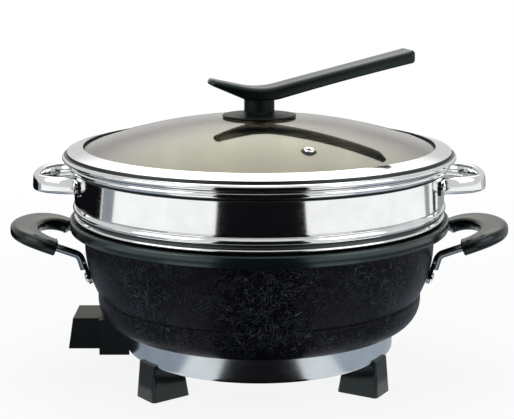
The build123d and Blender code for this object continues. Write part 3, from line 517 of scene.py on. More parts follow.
def started(name):
    """A new material with its node tree and its shader."""
    material = bpy.data.materials.new(name)
    material.use_nodes = True
    return material, material.node_tree, material.node_tree.nodes["Principled BSDF"]


def grained(tree, scale, low=0.0, high=1.0):
    """Fine grain placed in a material."""
    return wired(tree, "Group", {"Scale": scale, "Low": low, "High": high}, node_tree=fine_grain())


def mixed(tree, mask, dark, light):
    """Colour between two, by a mask."""
    values = {"Factor": mask, "A": (*dark, 1.0), "B": (*light, 1.0)}
    return wired(tree, "Mix", values, data_type="RGBA")["Result"]


def clouded(tree, scale, colour, low, high):
    """A colour with soft clouds between a darker and a lighter tone."""
    return mixed(tree, grained(tree, scale)["Value"], toned(colour, low), toned(colour, high))


def bumped(tree, height, strength, distance=0.0002):
    """Normal from a height."""
    return wired(tree, "Bump", {"Height": height, "Strength": strength, "Distance": distance})["Normal"]


def toned(colour, factor):
    """A colour made lighter or darker."""
    return tuple(min(1.0, part * factor) for part in colour)


def metal(name, colour, low, high, density, relief):
    """Metal turned or polished round the axis, its gloss between two roughnesses."""
    material, tree, shader = started(name)
    lines = wired(tree, "Group", {"Density": density, "Low": low, "High": high}, node_tree=turning_lines())
    give(tree, shader, {
        "Base Color": clouded(tree, 55.0, colour, 0.93, 1.04), "Roughness": lines["Value"],
        "Normal": bumped(tree, lines["Height"], relief), "Metallic": 1.0})
    return material


def plated(name, colour, low, high):
    """Small plated or plain metal pieces with an irregular grain."""
    material, tree, shader = started(name)
    grain = grained(tree, 900.0, low, high)
    give(tree, shader, {
        "Base Color": clouded(tree, 120.0, colour, 0.86, 1.08), "Roughness": grain["Value"],
        "Normal": bumped(tree, grain["Height"], 0.15), "Metallic": 1.0})
    return material


def moulded(name, colour, low, high, relief, scale=700.0, gloss=0.5, sheen=(1.0, 1.0, 1.0)):
    """Moulded plastic, rubber or ceramic with a slight skin."""
    material, tree, shader = started(name)
    grain = grained(tree, scale, low, high)
    give(tree, shader, {
        "Base Color": clouded(tree, 60.0, colour, 0.85, 1.2), "Roughness": grain["Value"],
        "Normal": bumped(tree, grain["Height"], relief),
        "Specular IOR Level": gloss, "Specular Tint": (*sheen, 1.0)})
    return material


def coated_bowl(name, finishes):
    """Near-black coating with feathery strokes standing a little proud, their lighter colour partly their
    own and partly painted glint.
    """
    material, tree, shader = started(name)
    strokes = grained(tree, 900.0, -1.8, 0.8)["Value"]
    for scale, rows, seed in ((70.0, 13.0, 0.0), (92.0, 11.0, 3.7), (118.0, 9.0, 7.9), (80.0, 15.0, 12.3)):
        values = {"Scale": scale, "Rows": rows, "Seed": seed, "Cover": 0.49}
        layer = wired(tree, "Group", values, node_tree=swirled_strokes())
        strokes = figure(tree, "MAXIMUM", strokes, layer["Mask"])
    # The strokes, shown in patches, are lighter partly as painted glint.
    strokes_with_glint = figure(tree, "MULTIPLY", strokes, grained(tree, 16.0, 0.3, 1.0)["Value"])
    give(tree, shader, {
        "Base Color": mixed(tree, strokes_with_glint, finishes.coat, finishes.stroke),
        "Roughness": grained(tree, 650.0, 0.26, 0.38)["Value"],
        "Normal": bumped(tree, strokes, 0.5, 0.0005), "Specular IOR Level": 0.08})
    return material


def tinted_glass(name, finishes):
    """Warm tinted glass with a faint film."""
    material, tree, shader = started(name)
    give(tree, shader, {
        "Base Color": clouded(tree, 18.0, finishes.glass, 0.95, 1.05),
        "Roughness": grained(tree, 40.0, 0.015, 0.04)["Value"], "Transmission Weight": 1.0, "IOR": 1.8})
    return material


def finish(kind):
    """One of the pan's materials, made when it is first asked for."""
    name = f"pan_{kind}"
    if name in bpy.data.materials:
        return bpy.data.materials[name]
    tones = bpy.context.scene.pan_finishes
    maker, *values = {
        "mirror_steel": (metal, tones.steel, 0.06, 0.11, 700.0, 0.02),
        # Dark steel whose colour is painted shade in the creases; its rougher gloss is the metal's own.
        "crease_steel": (metal, tones.crease, 0.35, 0.50, 900.0, 0.05),
        "satin_steel": (metal, tones.satin, 0.19, 0.23, 1600.0, 0.004),
        # Rod steel darkened as painted reflection of dark surroundings.
        "rod_steel": (metal, tones.rod, 0.12, 0.20, 900.0, 0.02),
        "swirled_coating": (coated_bowl, tones),
        "warm_glass": (tinted_glass, tones),
        "rim_coating": (moulded, tones.rim_coat, 0.18, 0.26, 0.05, 700.0, 0.8, tones.sheen),
        "black_plastic": (moulded, tones.plastic, 0.16, 0.26, 0.05, 700.0, 0.4, tones.sheen),
        "matt_plastic": (moulded, tones.plastic, 0.34, 0.48, 0.12, 700.0, 0.14, tones.sheen),
        "seal_rubber": (moulded, tones.rubber, 0.55, 0.75, 0.2),
        "fuse_ceramic": (moulded, tones.ceramic, 0.5, 0.7, 0.2),
        "lead_sleeving": (moulded, tones.sleeving, 0.6, 0.8, 0.35, 1500.0),
        "pin_brass": (plated, tones.brass, 0.22, 0.36),
        "zinc_plate": (plated, tones.zinc, 0.28, 0.42),
        "element_sheath": (plated, tones.sheath, 0.42, 0.6),
    }[kind]
    return maker(name, *values)


class PAN_OT_bowl(bpy.types.Operator):
    """Models the coated bowl with its rim band and crease"""

    bl_idname = "pan.bowl"
    bl_label = "Bowl"

    def execute(self, context):
        size = context.scene.pan_sizes
        top = size.bowl_top
        wall = size.bowl_wall
        neck_level = top - size.neck_drop
        drop = neck_level - size.crease_height - size.crease_step
        draw = size.bowl_neck - size.bowl_low + size.crease_step
        bend = (draw ** 2 + drop ** 2) / (2 * draw)
        turn = math.degrees(math.asin(drop / bend))
        bend_centre = (size.bowl_neck - bend, neck_level)
        corner_centre = (size.bowl_low - size.bowl_corner, size.bowl_bottom + size.bowl_corner)
        inner_low = arc(bend_centre, bend - wall, -turn, -turn, 1)[0]
        inner_corner = size.bowl_corner - wall
        inner_centre = (inner_low[0] - inner_corner, size.bowl_bottom + size.bowl_corner)
        band_low = top - size.band_height
        band_foot = size.bowl_rim - size.band_bulge
        band_drop = size.band_height / 2
        swell = (band_drop ** 2 + size.band_bulge ** 2) / (2 * size.band_bulge)
        swell_turn = math.degrees(math.asin(band_drop / swell))
        band = arc((size.bowl_rim - swell, top - band_drop), swell, -swell_turn, swell_turn * 0.8, 10)
        outline = [(0.0, size.bowl_bottom)]
        outline += arc(corner_centre, size.bowl_corner, -90, 0, 14)
        outline += eased([
            (size.bowl_low, size.crease_height - 0.003, 0), (size.bowl_low, size.crease_height, 0.0006),
            (size.bowl_low - size.crease_step, size.crease_height + size.crease_step, 0.0006)])[:-6]
        outline += arc(bend_centre, bend, -turn, 0, 18)
        outline += [(size.bowl_neck, top - wall - 0.001), (size.bowl_neck + 0.001, top - wall)]
        behind = band_foot - wall
        soft = 0.0008
        outline += [(behind - soft, top - wall), (behind, top - wall - soft)]
        outline += [(behind, band_low + soft), (behind + soft, band_low)]
        outline += [(band_foot - 0.0006, band_low)]
        outline += band
        brow = 0.0014
        outline += arc((band[-1][0] - brow, top - brow), brow, 30, 90, 6)
        mouth = size.bowl_neck - wall
        outline += [(mouth + 0.0012, top), (mouth + 0.0004, top - 0.0003), (mouth, top - 0.0012)]
        outline += arc(bend_centre, bend - wall, 0, -turn, 18)
        outline += arc(inner_centre, inner_corner, 0, -90, 12)
        outline += [(0.0, size.bowl_bottom + wall)]
        shell = turned("bowl_shell", outline)
        take_place(shell, "base", "coated_bowl", finish("swirled_coating"), "pan_bowl")
        dress_where(shell, finish("rim_coating"), lambda radius, level:
                    level > band_low - 0.0005 and radius > band_foot - 0.004)
        return {"FINISHED"}


def add_foot(name, angle, size):
    """A flared foot with round upright edges, whose front runs up over the base ring's lower edge."""
    ring = size.ring_radius
    low = size.ring_bottom
    high = low + size.foot_lip_height
    near = ring + 0.0001
    profile = [
        (ring - size.foot_depth - size.foot_flare, 0.0), (ring + size.foot_flare, 0.0),
        (ring + size.foot_lip, high), (near, high), (near, low), (ring - size.foot_depth, low)]
    slices = [math.sin(math.radians(-90 + 180 * step / 24)) for step in range(25)]
    foot = add(name, bpy.ops.mesh.primitive_circle_add, vertices=len(profile), radius=1.0, fill_type="NGON")
    for vertex, (out, level) in zip(foot.data.vertices, profile):
        vertex.co = (out, 0.0, level)
    open_where(foot, "FACE", lambda face: True)
    for _ in slices[1:]:
        bpy.ops.mesh.extrude_region_move(TRANSFORM_OT_translate={"value": (0.0, 1.0, 0.0)})
    bpy.ops.object.mode_set(mode="OBJECT")
    for vertex in foot.data.vertices:
        out, part, level = vertex.co.x, slices[round(vertex.co.y)], vertex.co.z
        up = level / high
        half = (size.foot_sole * (1 - up) + size.foot_top * up) / 2
        across = part * half
        soft = size.foot_round * (1 - 0.45 * up)
        past = max(0.0, abs(across) - (half - soft))
        drawn = soft - math.sqrt(max(0.0, soft ** 2 - past ** 2))
        if abs(out - near) < MERGE_DISTANCE:
            out = math.sqrt(near ** 2 - across ** 2)
        elif out > ring:
            out -= drawn
        else:
            out += drawn
        vertex.co = (out, across, level)
    only(foot)
    bpy.ops.object.modifier_apply(modifier=soft_edges(foot, 0.0007, 50))
    closed(foot)
    turn_piece(foot, "Z", angle)
    return foot


class PAN_OT_base(bpy.types.Operator):
    """Models the base ring and the feet and dresses the cover under the bowl"""

    bl_idname = "pan.base"
    bl_label = "Base ring and feet"

    def execute(self, context):
        size = context.scene.pan_sizes
        sheet = 0.0015
        outer = size.ring_radius
        inner = outer - size.ring_flange
        low = size.ring_bottom
        outline = eased([
            (inner, low, 0.0004), (outer, low, 0.003), (outer, size.bowl_bottom, 0.0005),
            (outer - sheet, size.bowl_bottom, 0.0005), (outer - sheet, low + sheet, 0.0015),
            (inner, low + sheet, 0.0004)])
        ring = turned("base_band", outline)
        take_place(ring, "base", "satin_steel", finish("satin_steel"), "base_ring")
        dress_nodes(["base_cover"], finish("satin_steel"))
        for place, angle in zip(("rear_right", "rear_left", "front_left", "front_right"), FOOT_ANGLES):
            foot = add_foot(f"foot_block_{place}", math.radians(angle), size)
            take_place(foot, "base", "black_plastic", finish("black_plastic"), f"foot_{place}")
        return {"FINISHED"}


def add_grip(name, side, size):
    """One horseshoe grip on the +X side or, turned half round, on the -X side."""
    slope = size.rod_slope
    chord = math.hypot(size.grip_reach, size.grip_rise)
    chord_angle = math.atan2(size.grip_rise, size.grip_reach)
    arch = chord / (2 * math.sin(slope - chord_angle))
    arch_x = arch * math.sin(slope)
    arch_z = -arch * math.cos(slope)
    outer_x = size.grip_reach - size.grip_bow
    gap_x = size.grip_reach - size.grip_bar - size.grip_gap
    gap_half = size.grip_half - size.grip_leg

    def place(bearing, turn):
        across, up = rounded_section(turn, 3.4)
        outer = Vector((outer_x + size.grip_bow * math.cos(bearing), size.grip_half * math.sin(bearing)))
        gap = Vector((gap_x + size.grip_gap * math.cos(bearing), gap_half * math.sin(bearing)))
        flat = (outer + gap) / 2 + (outer - gap) / 2 * across
        bend = math.asin((flat.x - arch_x) / arch)
        reach = arch + up * size.grip_thickness / 2
        return (size.leg_reach + arch_x + reach * math.sin(bend), flat.y,
                size.leg_level + arch_z + reach * math.cos(bend))

    grip = shaped_torus(name, 96, place)
    rod_y = size.grip_half - size.rod_inset
    spread = math.atan2(rod_y, size.leg_reach)
    for leg in (-1, 1):
        outward = (
            math.cos(slope) * math.cos(spread), leg * math.cos(slope) * math.sin(spread), math.sin(slope))
        cut_leg(grip, leg, (size.leg_reach, leg * rod_y, size.leg_level), outward)
        bpy.ops.mesh.select_mode(type="EDGE")
        bpy.ops.mesh.region_to_loop()
        bpy.ops.mesh.bevel(offset=0.0009, segments=3, affect="EDGES")
    closed(grip)
    if side < 0:
        turn_piece(grip, "Z", math.pi)
    return grip


class PAN_OT_grips(bpy.types.Operator):
    """Models the side handles' grips and dresses their rods and rivets"""

    bl_idname = "pan.grips"
    bl_label = "Side handles"

    def execute(self, context):
        for name, side in (("right", 1), ("left", -1)):
            grip = add_grip(f"grip_{name}", side, context.scene.pan_sizes)
            take_place(grip, "base", "black_plastic", finish("black_plastic"), f"handle_grip_{name}")
        # The rods get steel darkened as painted reflection.
        dress_nodes([name for name in nodes if name.startswith("handle_rod")], finish("rod_steel"))
        dress_nodes(["handle_rivets"], finish("mirror_steel"))
        return {"FINISHED"}


class PAN_OT_inlet(bpy.types.Operator):
    """Dresses the inlet's box, shroud and pins"""

    bl_idname = "pan.inlet"
    bl_label = "Mains inlet"

    def execute(self, context):
        dress_nodes(["inlet_box", "inlet_shroud"], finish("matt_plastic"))
        soften_nodes(["inlet_box", "inlet_shroud"], 0.0010)
        dress_nodes(["inlet_pins", "earth_pin", "earth_strap", "element_terminals"], finish("pin_brass"))
        return {"FINISHED"}


class PAN_OT_heating(bpy.types.Operator):
    """Dresses the element, wiring and fasteners under the bowl"""

    bl_idname = "pan.heating"
    bl_label = "Heating and fasteners"

    def execute(self, context):
        dress_nodes(["heating_element"], finish("element_sheath"))
        dress_nodes(["foot_screws", "centre_stud", "clamp_nut", "cover_nut", "element_clamp", "probe_sleeve",
                     "fuse_clip", "box_screws", "shroud_screws"], finish("zinc_plate"))
        dress_nodes(["thermal_fuse"], finish("fuse_ceramic"))
        dress_nodes(["lead_live", "lead_fused", "lead_neutral"], finish("lead_sleeving"))
        return {"FINISHED"}


def add_loop(name, side, size):
    """A loop handle of the steamer with the tabs that are riveted to the wall."""
    reach = size.loop_reach - size.loop_middle
    level = size.loop_level

    def place(bearing, turn):
        across, up = rounded_section(turn, 4.2)
        forward, sideways = rounded_section(bearing, 2.9)
        out = (across * (1 - size.loop_draft * (up + 1) / 2) - 1) * size.loop_band / 2
        return (size.loop_middle + (reach + out) * forward, (size.loop_half + out) * sideways,
                level + up * size.loop_height / 2)

    loop = shaped_torus(name, 128, place)
    spread = math.asin((size.loop_half - size.loop_band / 2) / size.tier_radius)
    start = spread - size.loop_band / 2 / size.tier_radius
    seat = size.tier_radius + 0.0002
    tabs = []
    for end in (-1, 1):
        outward = (math.cos(spread), end * math.sin(spread), 0.0)
        cut_leg(loop, end, (seat * outward[0], seat * outward[1], level), outward)
        tab = add_block(f"{name}_tab", 1, 10)
        for vertex in tab.data.vertices:
            radius = size.tier_radius + (size.loop_tab_sheet if vertex.co.x > 0 else 0.0001)
            angle = end * (start + (vertex.co.y + 0.5) * (spread + size.loop_tab / size.tier_radius - start))
            vertex.co = (radius * math.cos(angle), radius * math.sin(angle),
                         level + vertex.co.z * size.loop_height * 0.9)
        edges_where(tab, lambda one, two: (one.xy - two.xy).length > 1e-4 and (one - two).length > 1e-4)
        bpy.ops.mesh.bevel(offset=0.0005, segments=2, affect="EDGES")
        closed(tab)
        tabs.append(tab)
    closed(loop)
    for tab in tabs:
        tab.select_set(True)
    bpy.ops.object.join()
    if side < 0:
        turn_piece(loop, "Z", math.pi)
    return loop


class PAN_OT_tier(bpy.types.Operator):
    """Models the steamer's wall and loop handles and dresses its floor and rivets"""

    bl_idname = "pan.tier"
    bl_label = "Steamer tier"

    def execute(self, context):
        size = context.scene.pan_sizes
        rest = size.bowl_top
        top = size.tier_top
        outer = size.tier_radius
        sheet = size.tier_sheet
        inside = outer - sheet
        lip = size.tier_lip_height / 2
        under_lip = top - 2 * lip
        neck = outer - 0.0008
        bead = [(outer + across, rest + up) for across, up in (
            (-0.0006, 0.0128), (0.0004, 0.0120), (0.0011, 0.0109), (0.0014, 0.0098), (0.0012, 0.0087),
            (0.0005, 0.0078), (-0.0008, 0.0071), (-0.0015, 0.0062), (-0.0016, 0.0052), (-0.0012, 0.0044),
            (-0.0003, 0.0039), (0.0005, 0.0033), (0.0007, 0.0026), (0.0005, 0.0019), (-0.0003, 0.0012),
            (-0.0014, 0.0006), (-0.0024, 0.0))]
        outline = [(inside, top)]
        outline += arc((size.tier_lip - lip, top - lip), lip, 90, -90, 14)
        outline += eased([
            (size.tier_lip - lip, under_lip, 0), (neck, under_lip, 0.0003),
            (neck, under_lip - 0.0006, 0.0002), (outer, under_lip - 0.0016, 0.0006),
            (outer, rest + 0.0139, 0.0006), (outer - 0.0006, rest + 0.0129, 0)])[1:]
        outline += bead
        spigot = size.spigot_radius
        ledge = spigot - size.spigot_ledge
        low = size.tier_bottom
        outline += eased([
            (spigot + 0.0005, rest, 0), (spigot, rest - 0.0005, 0), (spigot, low, 0.0012),
            (ledge, low, 0.0003), (ledge, low + sheet, 0.0003), (spigot - sheet, low + sheet, 0),
            (spigot - sheet, rest + sheet, 0.001), (inside, rest + sheet, 0.002)])
        wall = turned("tier_wall", outline, 50)
        take_place(wall, "steamer", "bright_steel", finish("mirror_steel"), "steamer_wall")
        # Painted shade: bands of the wall at its top edge, under the rolled lip, in the bead's groove and
        # where it sits on the rim get the dark crease steel in place of the shade there.
        creases = (
            (top - 0.0005, top + 0.0001), (under_lip - 0.0020, under_lip + 0.0011),
            (rest + 0.0042, rest + 0.0076), (rest - 0.0001, rest + 0.0013))
        dress_where(wall, finish("crease_steel"), lambda radius, height:
                    radius > outer - 0.004 and any(start < height < end for start, end in creases))
        dress_nodes(["steamer_floor"], finish("satin_steel"))
        for name, side in (("right", 1), ("left", -1)):
            loop = add_loop(f"loop_{name}", side, size)
            take_place(loop, "steamer", "bright_steel", finish("mirror_steel"), f"steamer_handle_{name}")
        dress_nodes(["steamer_rivets"], finish("mirror_steel"))
        return {"FINISHED"}


class PAN_OT_lid(bpy.types.Operator):
    """Models the glass dome, its steel rim and the vent's eyelet and dresses the seals and fasteners"""

    bl_idname = "pan.lid"
    bl_label = "Lid"

    def execute(self, context):
        size = context.scene.pan_sizes
        centre = size.dome_top - size.dome_radius

        def level(radius, sphere):
            return centre + math.sqrt(sphere ** 2 - radius ** 2)

        bore = 0.006
        under = size.dome_radius - size.glass_thickness
        steps = 40
        radii = [bore + (size.glass_radius - bore) * step / steps for step in range(steps + 1)]
        outline = [(radius, level(radius, size.dome_radius)) for radius in radii[:-1]]
        edge = level(size.glass_radius, size.dome_radius)
        outline += [(size.glass_radius - 0.0004, edge), (size.glass_radius, edge - 0.0006)]
        outline += [(radius, level(radius, under)) for radius in reversed(radii)]
        dome = turned("glass_dome", outline)
        take_place(dome, "lid", "lid_glass", finish("warm_glass"), "lid_glass")

        seat = size.tier_top
        sheet = 0.001
        gap = 0.0003
        inner = size.lid_band_inner
        fold = 1.8 * sheet
        band_top = level(inner, size.dome_radius) + gap + fold
        step_in = size.lid_radius - 0.003
        groove = step_in - 0.0008
        sole = step_in - 0.011
        pocket = size.glass_radius + gap
        roll = size.lid_roll_height / 2
        roll_middle = size.lid_radius - roll
        outline = eased([
            (inner, band_top - fold, 0.0003), (inner, band_top, 0.0004),
            (groove, seat + 0.0078, 0.0004), (groove, seat + 2 * roll, 0.0003),
            (roll_middle, seat + 2 * roll, 0)])
        outline += arc((roll_middle, seat + roll), roll, 85, -90, 16)
        outline += eased([
            (roll_middle - 0.0006, seat, 0), (sole, seat, 0.0003), (sole, seat + sheet, 0.0003),
            (pocket, seat + sheet, 0), (pocket, edge + gap, 0.0004)])
        rim = turned("lid_band", outline)
        take_place(rim, "lid", "bright_steel", finish("mirror_steel"), "lid_rim")
        # Painted shade: the band's inner edge by the glass, the step under the band and the seat get the
        # dark crease steel in place of the shade there.
        dress_where(rim, finish("crease_steel"), lambda radius, height: radius < inner + 0.0001 or (
            radius > step_in - 0.003 and (seat + 0.0052 < height < seat + 0.0075 or height < seat + 0.001)))
        dress_nodes(["lid_gasket", "vent_grommet", "lid_handle_seal"], finish("seal_rubber"))
        lean = math.asin(size.vent_reach / size.dome_radius)
        hole = size.vent_hole
        flange = size.vent_flange
        sleeve = -size.glass_thickness - 0.0015
        outline = eased([
            (hole, sleeve, 0.0002), (hole + 0.0007, sleeve, 0.0002), (hole + 0.0007, 0.0012, 0),
            (flange - 0.0004, 0.0012, 0.0002), (flange, 0.0014, 0.0002), (flange - 0.0006, 0.0022, 0.0006),
            (hole + 0.0010, 0.0022, 0.0006), (hole, 0.0008, 0.0004)])
        eyelet = turned("vent_eyelet", outline)
        take_place(eyelet, "lid", "bright_steel", finish("mirror_steel"), "steam_vent")
        # Painted shade: the hole's bore gets the dark crease steel.
        dress_where(eyelet, finish("crease_steel"), lambda radius, height: radius < hole + 0.0004)
        raise_piece(eyelet, size.dome_radius)
        turn_piece(eyelet, "Y", lean)
        turn_piece(eyelet, "Z", size.vent_angle)
        raise_piece(eyelet, centre)
        dress_nodes(["lid_handle_washer", "lid_handle_screw"], finish("zinc_plate"))
        return {"FINISHED"}


class PAN_OT_lever(bpy.types.Operator):
    """Models the lever on the lid with its soft top and dresses its flange"""

    bl_idname = "pan.lever"
    bl_label = "Lever"

    def execute(self, context):
        size = context.scene.pan_sizes
        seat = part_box("lid_handle")[0].z
        valley = seat + size.lever_root
        short_slope = size.lever_short_rise / size.lever_short_reach
        long_slope = size.lever_long_rise / size.lever_long_reach
        blend = size.lever_blend
        stem = size.lever_stem

        def top_level(along):
            if along < -blend:
                return valley - short_slope * along
            if along > blend:
                return valley + long_slope * along
            lean = (long_slope - short_slope) / 2
            bow = (long_slope + short_slope) / (4 * blend)
            return valley + (long_slope - lean) * blend - bow * blend ** 2 + lean * along + bow * along ** 2

        def arm(along):
            if along > 0:
                return (size.lever_long_reach, size.lever_long_rise, size.lever_long_width,
                        size.lever_long_tip, size.lever_bow)
            return (size.lever_short_reach, size.lever_short_rise, size.lever_short_width,
                    size.lever_short_tip, 0.0)

        def under_level(along):
            reach, rise, _, tip, bow = arm(along)
            part = max(0.0, (abs(along) - stem) / (reach - stem))
            return seat + (valley + rise - tip - seat) * part + bow * math.sin(math.pi * part)

        def half_width(along):
            reach, _, width, _, _ = arm(along)
            part = abs(along) / reach
            return (size.lever_valley_width * (1 - part) + width * part) / 2

        lever = add_block("lever", 0, 47)
        for vertex in lever.data.vertices:
            part = vertex.co.x + 0.5
            along = size.lever_long_reach * part - size.lever_short_reach * (1 - part)
            level = top_level(along) if vertex.co.z > 0 else under_level(along)
            side = half_width(along) * (1 if vertex.co.y > 0 else -1)
            vertex.co = (along, side, level)
        ends = (-size.lever_short_reach, size.lever_long_reach)
        near = 1e-5

        def at_end(point):
            return min(abs(point.x - end) for end in ends) < near

        def on_top(point):
            return abs(top_level(point.x) - point.z) < near

        def below(point):
            return abs(under_level(point.x) - point.z) < near

        def crosses(one, two):
            return one.y * two.y < 0 and not at_end(one)

        def upright(one, two):
            return at_end(one) and at_end(two) and abs(one.y - two.y) < near

        def along_top(one, two):
            return on_top(one) and on_top(two) and not crosses(one, two)

        def along_underside(one, two):
            return below(one) and below(two) and not crosses(one, two)

        for wanted, width, segments in (
                (upright, size.lever_corner, 6), (along_top, size.lever_soft, 6),
                (along_underside, size.lever_under, 4)):
            edges_where(lever, wanted)
            bpy.ops.mesh.bevel(offset=width, segments=segments, affect="EDGES")
        closed(lever)
        turn_piece(lever, "Z", size.lever_yaw)
        take_place(lever, "lid", "black_plastic", finish("black_plastic"), "lid_handle")
        dress_nodes(["lid_handle_flange"], finish("matt_plastic"))
        return {"FINISHED"}


def add_lamp(name, place, aim, width, height, power):
    """A soft rectangular lamp that faces a point."""
    bpy.ops.object.light_add(type="AREA", location=place)
    lamp = bpy.context.object
    lamp.name = name
    lamp.data.shape = "RECTANGLE"
    lamp.data.size = width
    lamp.data.size_y = height
    lamp.data.energy = power
    lamp.rotation_euler = (Vector(aim) - Vector(place)).to_track_quat("-Z", "Y").to_euler()


def add_flag(name, start, end, near, far, tone, rise=0.0):
    """A cloth just over the floor that only reflections see, from near to far of the pan's axis.

    It spans two bearings in degrees, counted from the camera's side and to the right.
    Its far edge may be raised.
    """
    flag = add(name, bpy.ops.mesh.primitive_grid_add, x_subdivisions=32, y_subdivisions=1, size=1.0)
    for vertex in flag.data.vertices:
        bearing = math.radians(start + (end - start) * (vertex.co.x + 0.5))
        reach, level = (near, FLAG_LEVEL) if vertex.co.y < 0 else (far, FLAG_LEVEL + rise)
        vertex.co = (reach * math.sin(bearing), -reach * math.cos(bearing), level)
    flag.visible_camera = False
    flag.visible_diffuse = False
    flag.visible_transmission = False
    flag.visible_shadow = False
    material, tree, shader = started(name)
    give(tree, shader, {
        "Emission Color": clouded(tree, 200.0, tone, 0.9, 1.1), "Emission Strength": 1.0,
        "Base Color": (0.0, 0.0, 0.0, 1.0), "Roughness": 1.0, "Specular IOR Level": 0.0})
    dress(flag, material)


def add_surroundings(scene, setup):
    """An even white world, in which polished surfaces mirror a greyer sky with a warm softbox."""
    world = bpy.data.worlds.new("studio")
    world.use_nodes = True
    scene.world = world
    tree = world.node_tree
    toward = wired(tree, "TexCoord")["Generated"]
    softbox = (0.0, math.cos(setup.softbox_rise), math.sin(setup.softbox_rise))
    lean = wired(tree, "VectorMath", {0: toward, 1: softbox}, operation="DOT_PRODUCT")["Value"]
    path = wired(tree, "LightPath")
    mirror = path["Is Glossy Ray"]
    sky = smooth_range(tree, lean, SOFTBOX_EDGE, 1.0, setup.sky, setup.softbox)
    lit = wired(tree, "Mix", {"Factor": mirror, "A": setup.ambient, "B": sky})["Result"]
    through = figure(tree, "MAXIMUM", path["Is Camera Ray"], path["Is Transmission Ray"])
    warm = figure(tree, "MULTIPLY", smooth_range(tree, lean, SOFTBOX_EDGE, 1.0), mirror)
    give(tree, tree.nodes["Background"], {
        "Strength": wired(tree, "Mix", {"Factor": through, "A": lit, "B": 1.0})["Result"],
        "Color": mixed(tree, warm, (1.0, 1.0, 1.0), setup.softbox_tint)})


def add_floor(setup):
    """A pale floor that shows a soft shadow round the pan and is white farther out."""
    floor = add("floor", bpy.ops.mesh.primitive_plane_add, size=8.0)
    material, tree, shader = started("pale_floor")
    give(tree, shader, {
        "Base Color": mixed(tree, grained(tree, 30.0)["Value"], (0.90, 0.90, 0.90), (0.93, 0.93, 0.93)),
        "Roughness": 0.9, "Specular IOR Level": 0.1})
    path = wired(tree, "LightPath")
    near = figure(tree, "MAXIMUM", path["Is Camera Ray"], path["Is Glossy Ray"])
    seen = figure(tree, "MAXIMUM", near, path["Is Transmission Ray"])
    place = wired(tree, "TexCoord")["Object"]
    reach = wired(tree, "VectorMath", {0: place}, operation="LENGTH")["Value"]
    white = figure(tree, "MULTIPLY", seen, smooth_range(tree, reach, 0.35, 1.0, setup.floor_glow, 1.0))
    glow = wired(tree, "Emission")["Emission"]
    blend = wired(tree, "MixShader", {"Fac": white, 1: shader.outputs["BSDF"], 2: glow})
    give(tree, tree.nodes["Material Output"], {"Surface": blend["Shader"]})
    dress(floor, material)


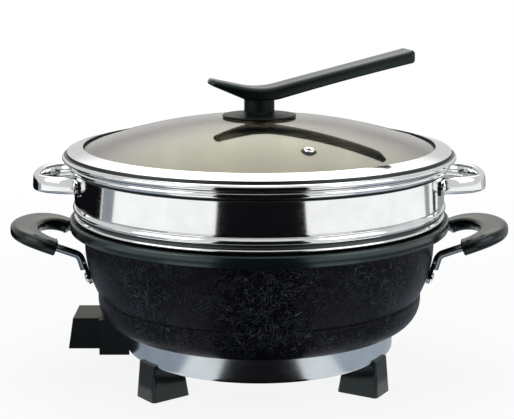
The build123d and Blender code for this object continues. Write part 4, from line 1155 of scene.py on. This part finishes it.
class PAN_OT_stage(bpy.types.Operator):
    """Adds the surroundings, floor, lamps, cloths for the reflections and camera"""

    bl_idname = "pan.stage"
    bl_label = "Stage"

    def execute(self, context):
        scene = context.scene
        setup = scene.pan_stage
        scene.view_settings.view_transform = "Standard"
        add_surroundings(scene, setup)
        add_floor(setup)

        middle = (0.0, 0.0, setup.aim_height)
        add_lamp("left_lamp", (-1.5, -0.9, 0.9), middle, 1.3, 1.3, setup.key)
        add_lamp("right_lamp", (1.5, -0.9, 0.9), middle, 1.3, 1.3, setup.key)
        add_lamp("overhead_lamp", (0.0, 0.2, 1.8), middle, 1.6, 1.2, setup.overhead)

        black = (0.004, 0.004, 0.005)
        dusk = (0.27, 0.29, 0.32)
        pewter = (0.32, 0.36, 0.42)
        silver = (0.44, 0.48, 0.55)
        grey = (0.30, 0.32, 0.33)
        for name, start, end, near, far, tone in (
                ("flag_front", -23.2, 25.2, 0.05, 3.5, black),
                ("flag_back", 170, 192, 0.20, 3.5, black),
                ("flag_bowl_left", -90.5, -23.6, 0.44, 0.61, black),
                ("flag_bowl_right", 25.6, 111, 0.44, 0.61, black),
                ("flag_ring_left", -150, -48, 0.13, 0.43, pewter),
                ("flag_ring_right", 50, 150, 0.13, 0.43, silver),
                ("flag_left", -166, -103, 0.44, 3.5, black),
                ("flag_left_edge", -102, -91, 0.45, 3.5, dusk),
                ("flag_right_edge", 112, 118, 0.36, 3.5, grey),
                ("flag_right_stripe", 123, 128, 0.36, 3.5, black),
                ("flag_right", 132, 168, 0.36, 3.5, grey)):
            add_flag(name, start, end, near, far, tone)
        add_flag("card_front", -23.2, 25.2, 1.40, 1.6, black, 0.9)

        bpy.ops.object.camera_add()
        camera = bpy.context.object
        camera.name = "photo_camera"
        away = Vector((0.0, -math.cos(setup.elevation), math.sin(setup.elevation)))
        camera.location = Vector(middle) + away * setup.distance
        camera.rotation_euler = (-away).to_track_quat("-Z", "Y").to_euler()
        camera.data.sensor_width = 36.0
        camera.data.lens = setup.lens
        camera.data.shift_x = -setup.side_pixels / PHOTO_WIDTH
        scene.camera = camera
        return {"FINISHED"}


OPERATORS = (
    PAN_OT_bowl, PAN_OT_base, PAN_OT_grips, PAN_OT_inlet, PAN_OT_heating, PAN_OT_tier, PAN_OT_lid,
    PAN_OT_lever, PAN_OT_stage,
)


class PAN_PT_sidebar(bpy.types.Panel):
    """Lists the pan's pieces and values"""

    bl_label = "Electric Pan"
    bl_idname = "PAN_PT_sidebar"
    bl_space_type = "VIEW_3D"
    bl_region_type = "UI"
    bl_category = "Pan"

    def draw(self, context):
        for operator in OPERATORS:
            self.layout.operator(operator.bl_idname)
        for values in (context.scene.pan_sizes, context.scene.pan_finishes, context.scene.pan_stage):
            box = self.layout.box()
            for key in values.__annotations__:
                box.prop(values, key)


CLASSES = (PanSizes, PanFinishes, PanStage, *OPERATORS, PAN_PT_sidebar)


def register():
    for made in CLASSES:
        bpy.utils.register_class(made)
    bpy.types.Scene.pan_sizes = PointerProperty(type=PanSizes)
    bpy.types.Scene.pan_finishes = PointerProperty(type=PanFinishes)
    bpy.types.Scene.pan_stage = PointerProperty(type=PanStage)


def unregister():
    del bpy.types.Scene.pan_stage
    del bpy.types.Scene.pan_finishes
    del bpy.types.Scene.pan_sizes
    for made in reversed(CLASSES):
        bpy.utils.unregister_class(made)


def main():
    register()
    bpy.ops.pan.bowl()
    bpy.ops.pan.base()
    bpy.ops.pan.grips()
    bpy.ops.pan.inlet()
    bpy.ops.pan.heating()
    bpy.ops.pan.tier()
    bpy.ops.pan.lid()
    bpy.ops.pan.lever()
    bpy.ops.pan.stage()


if __name__ == "__main__":
    main()
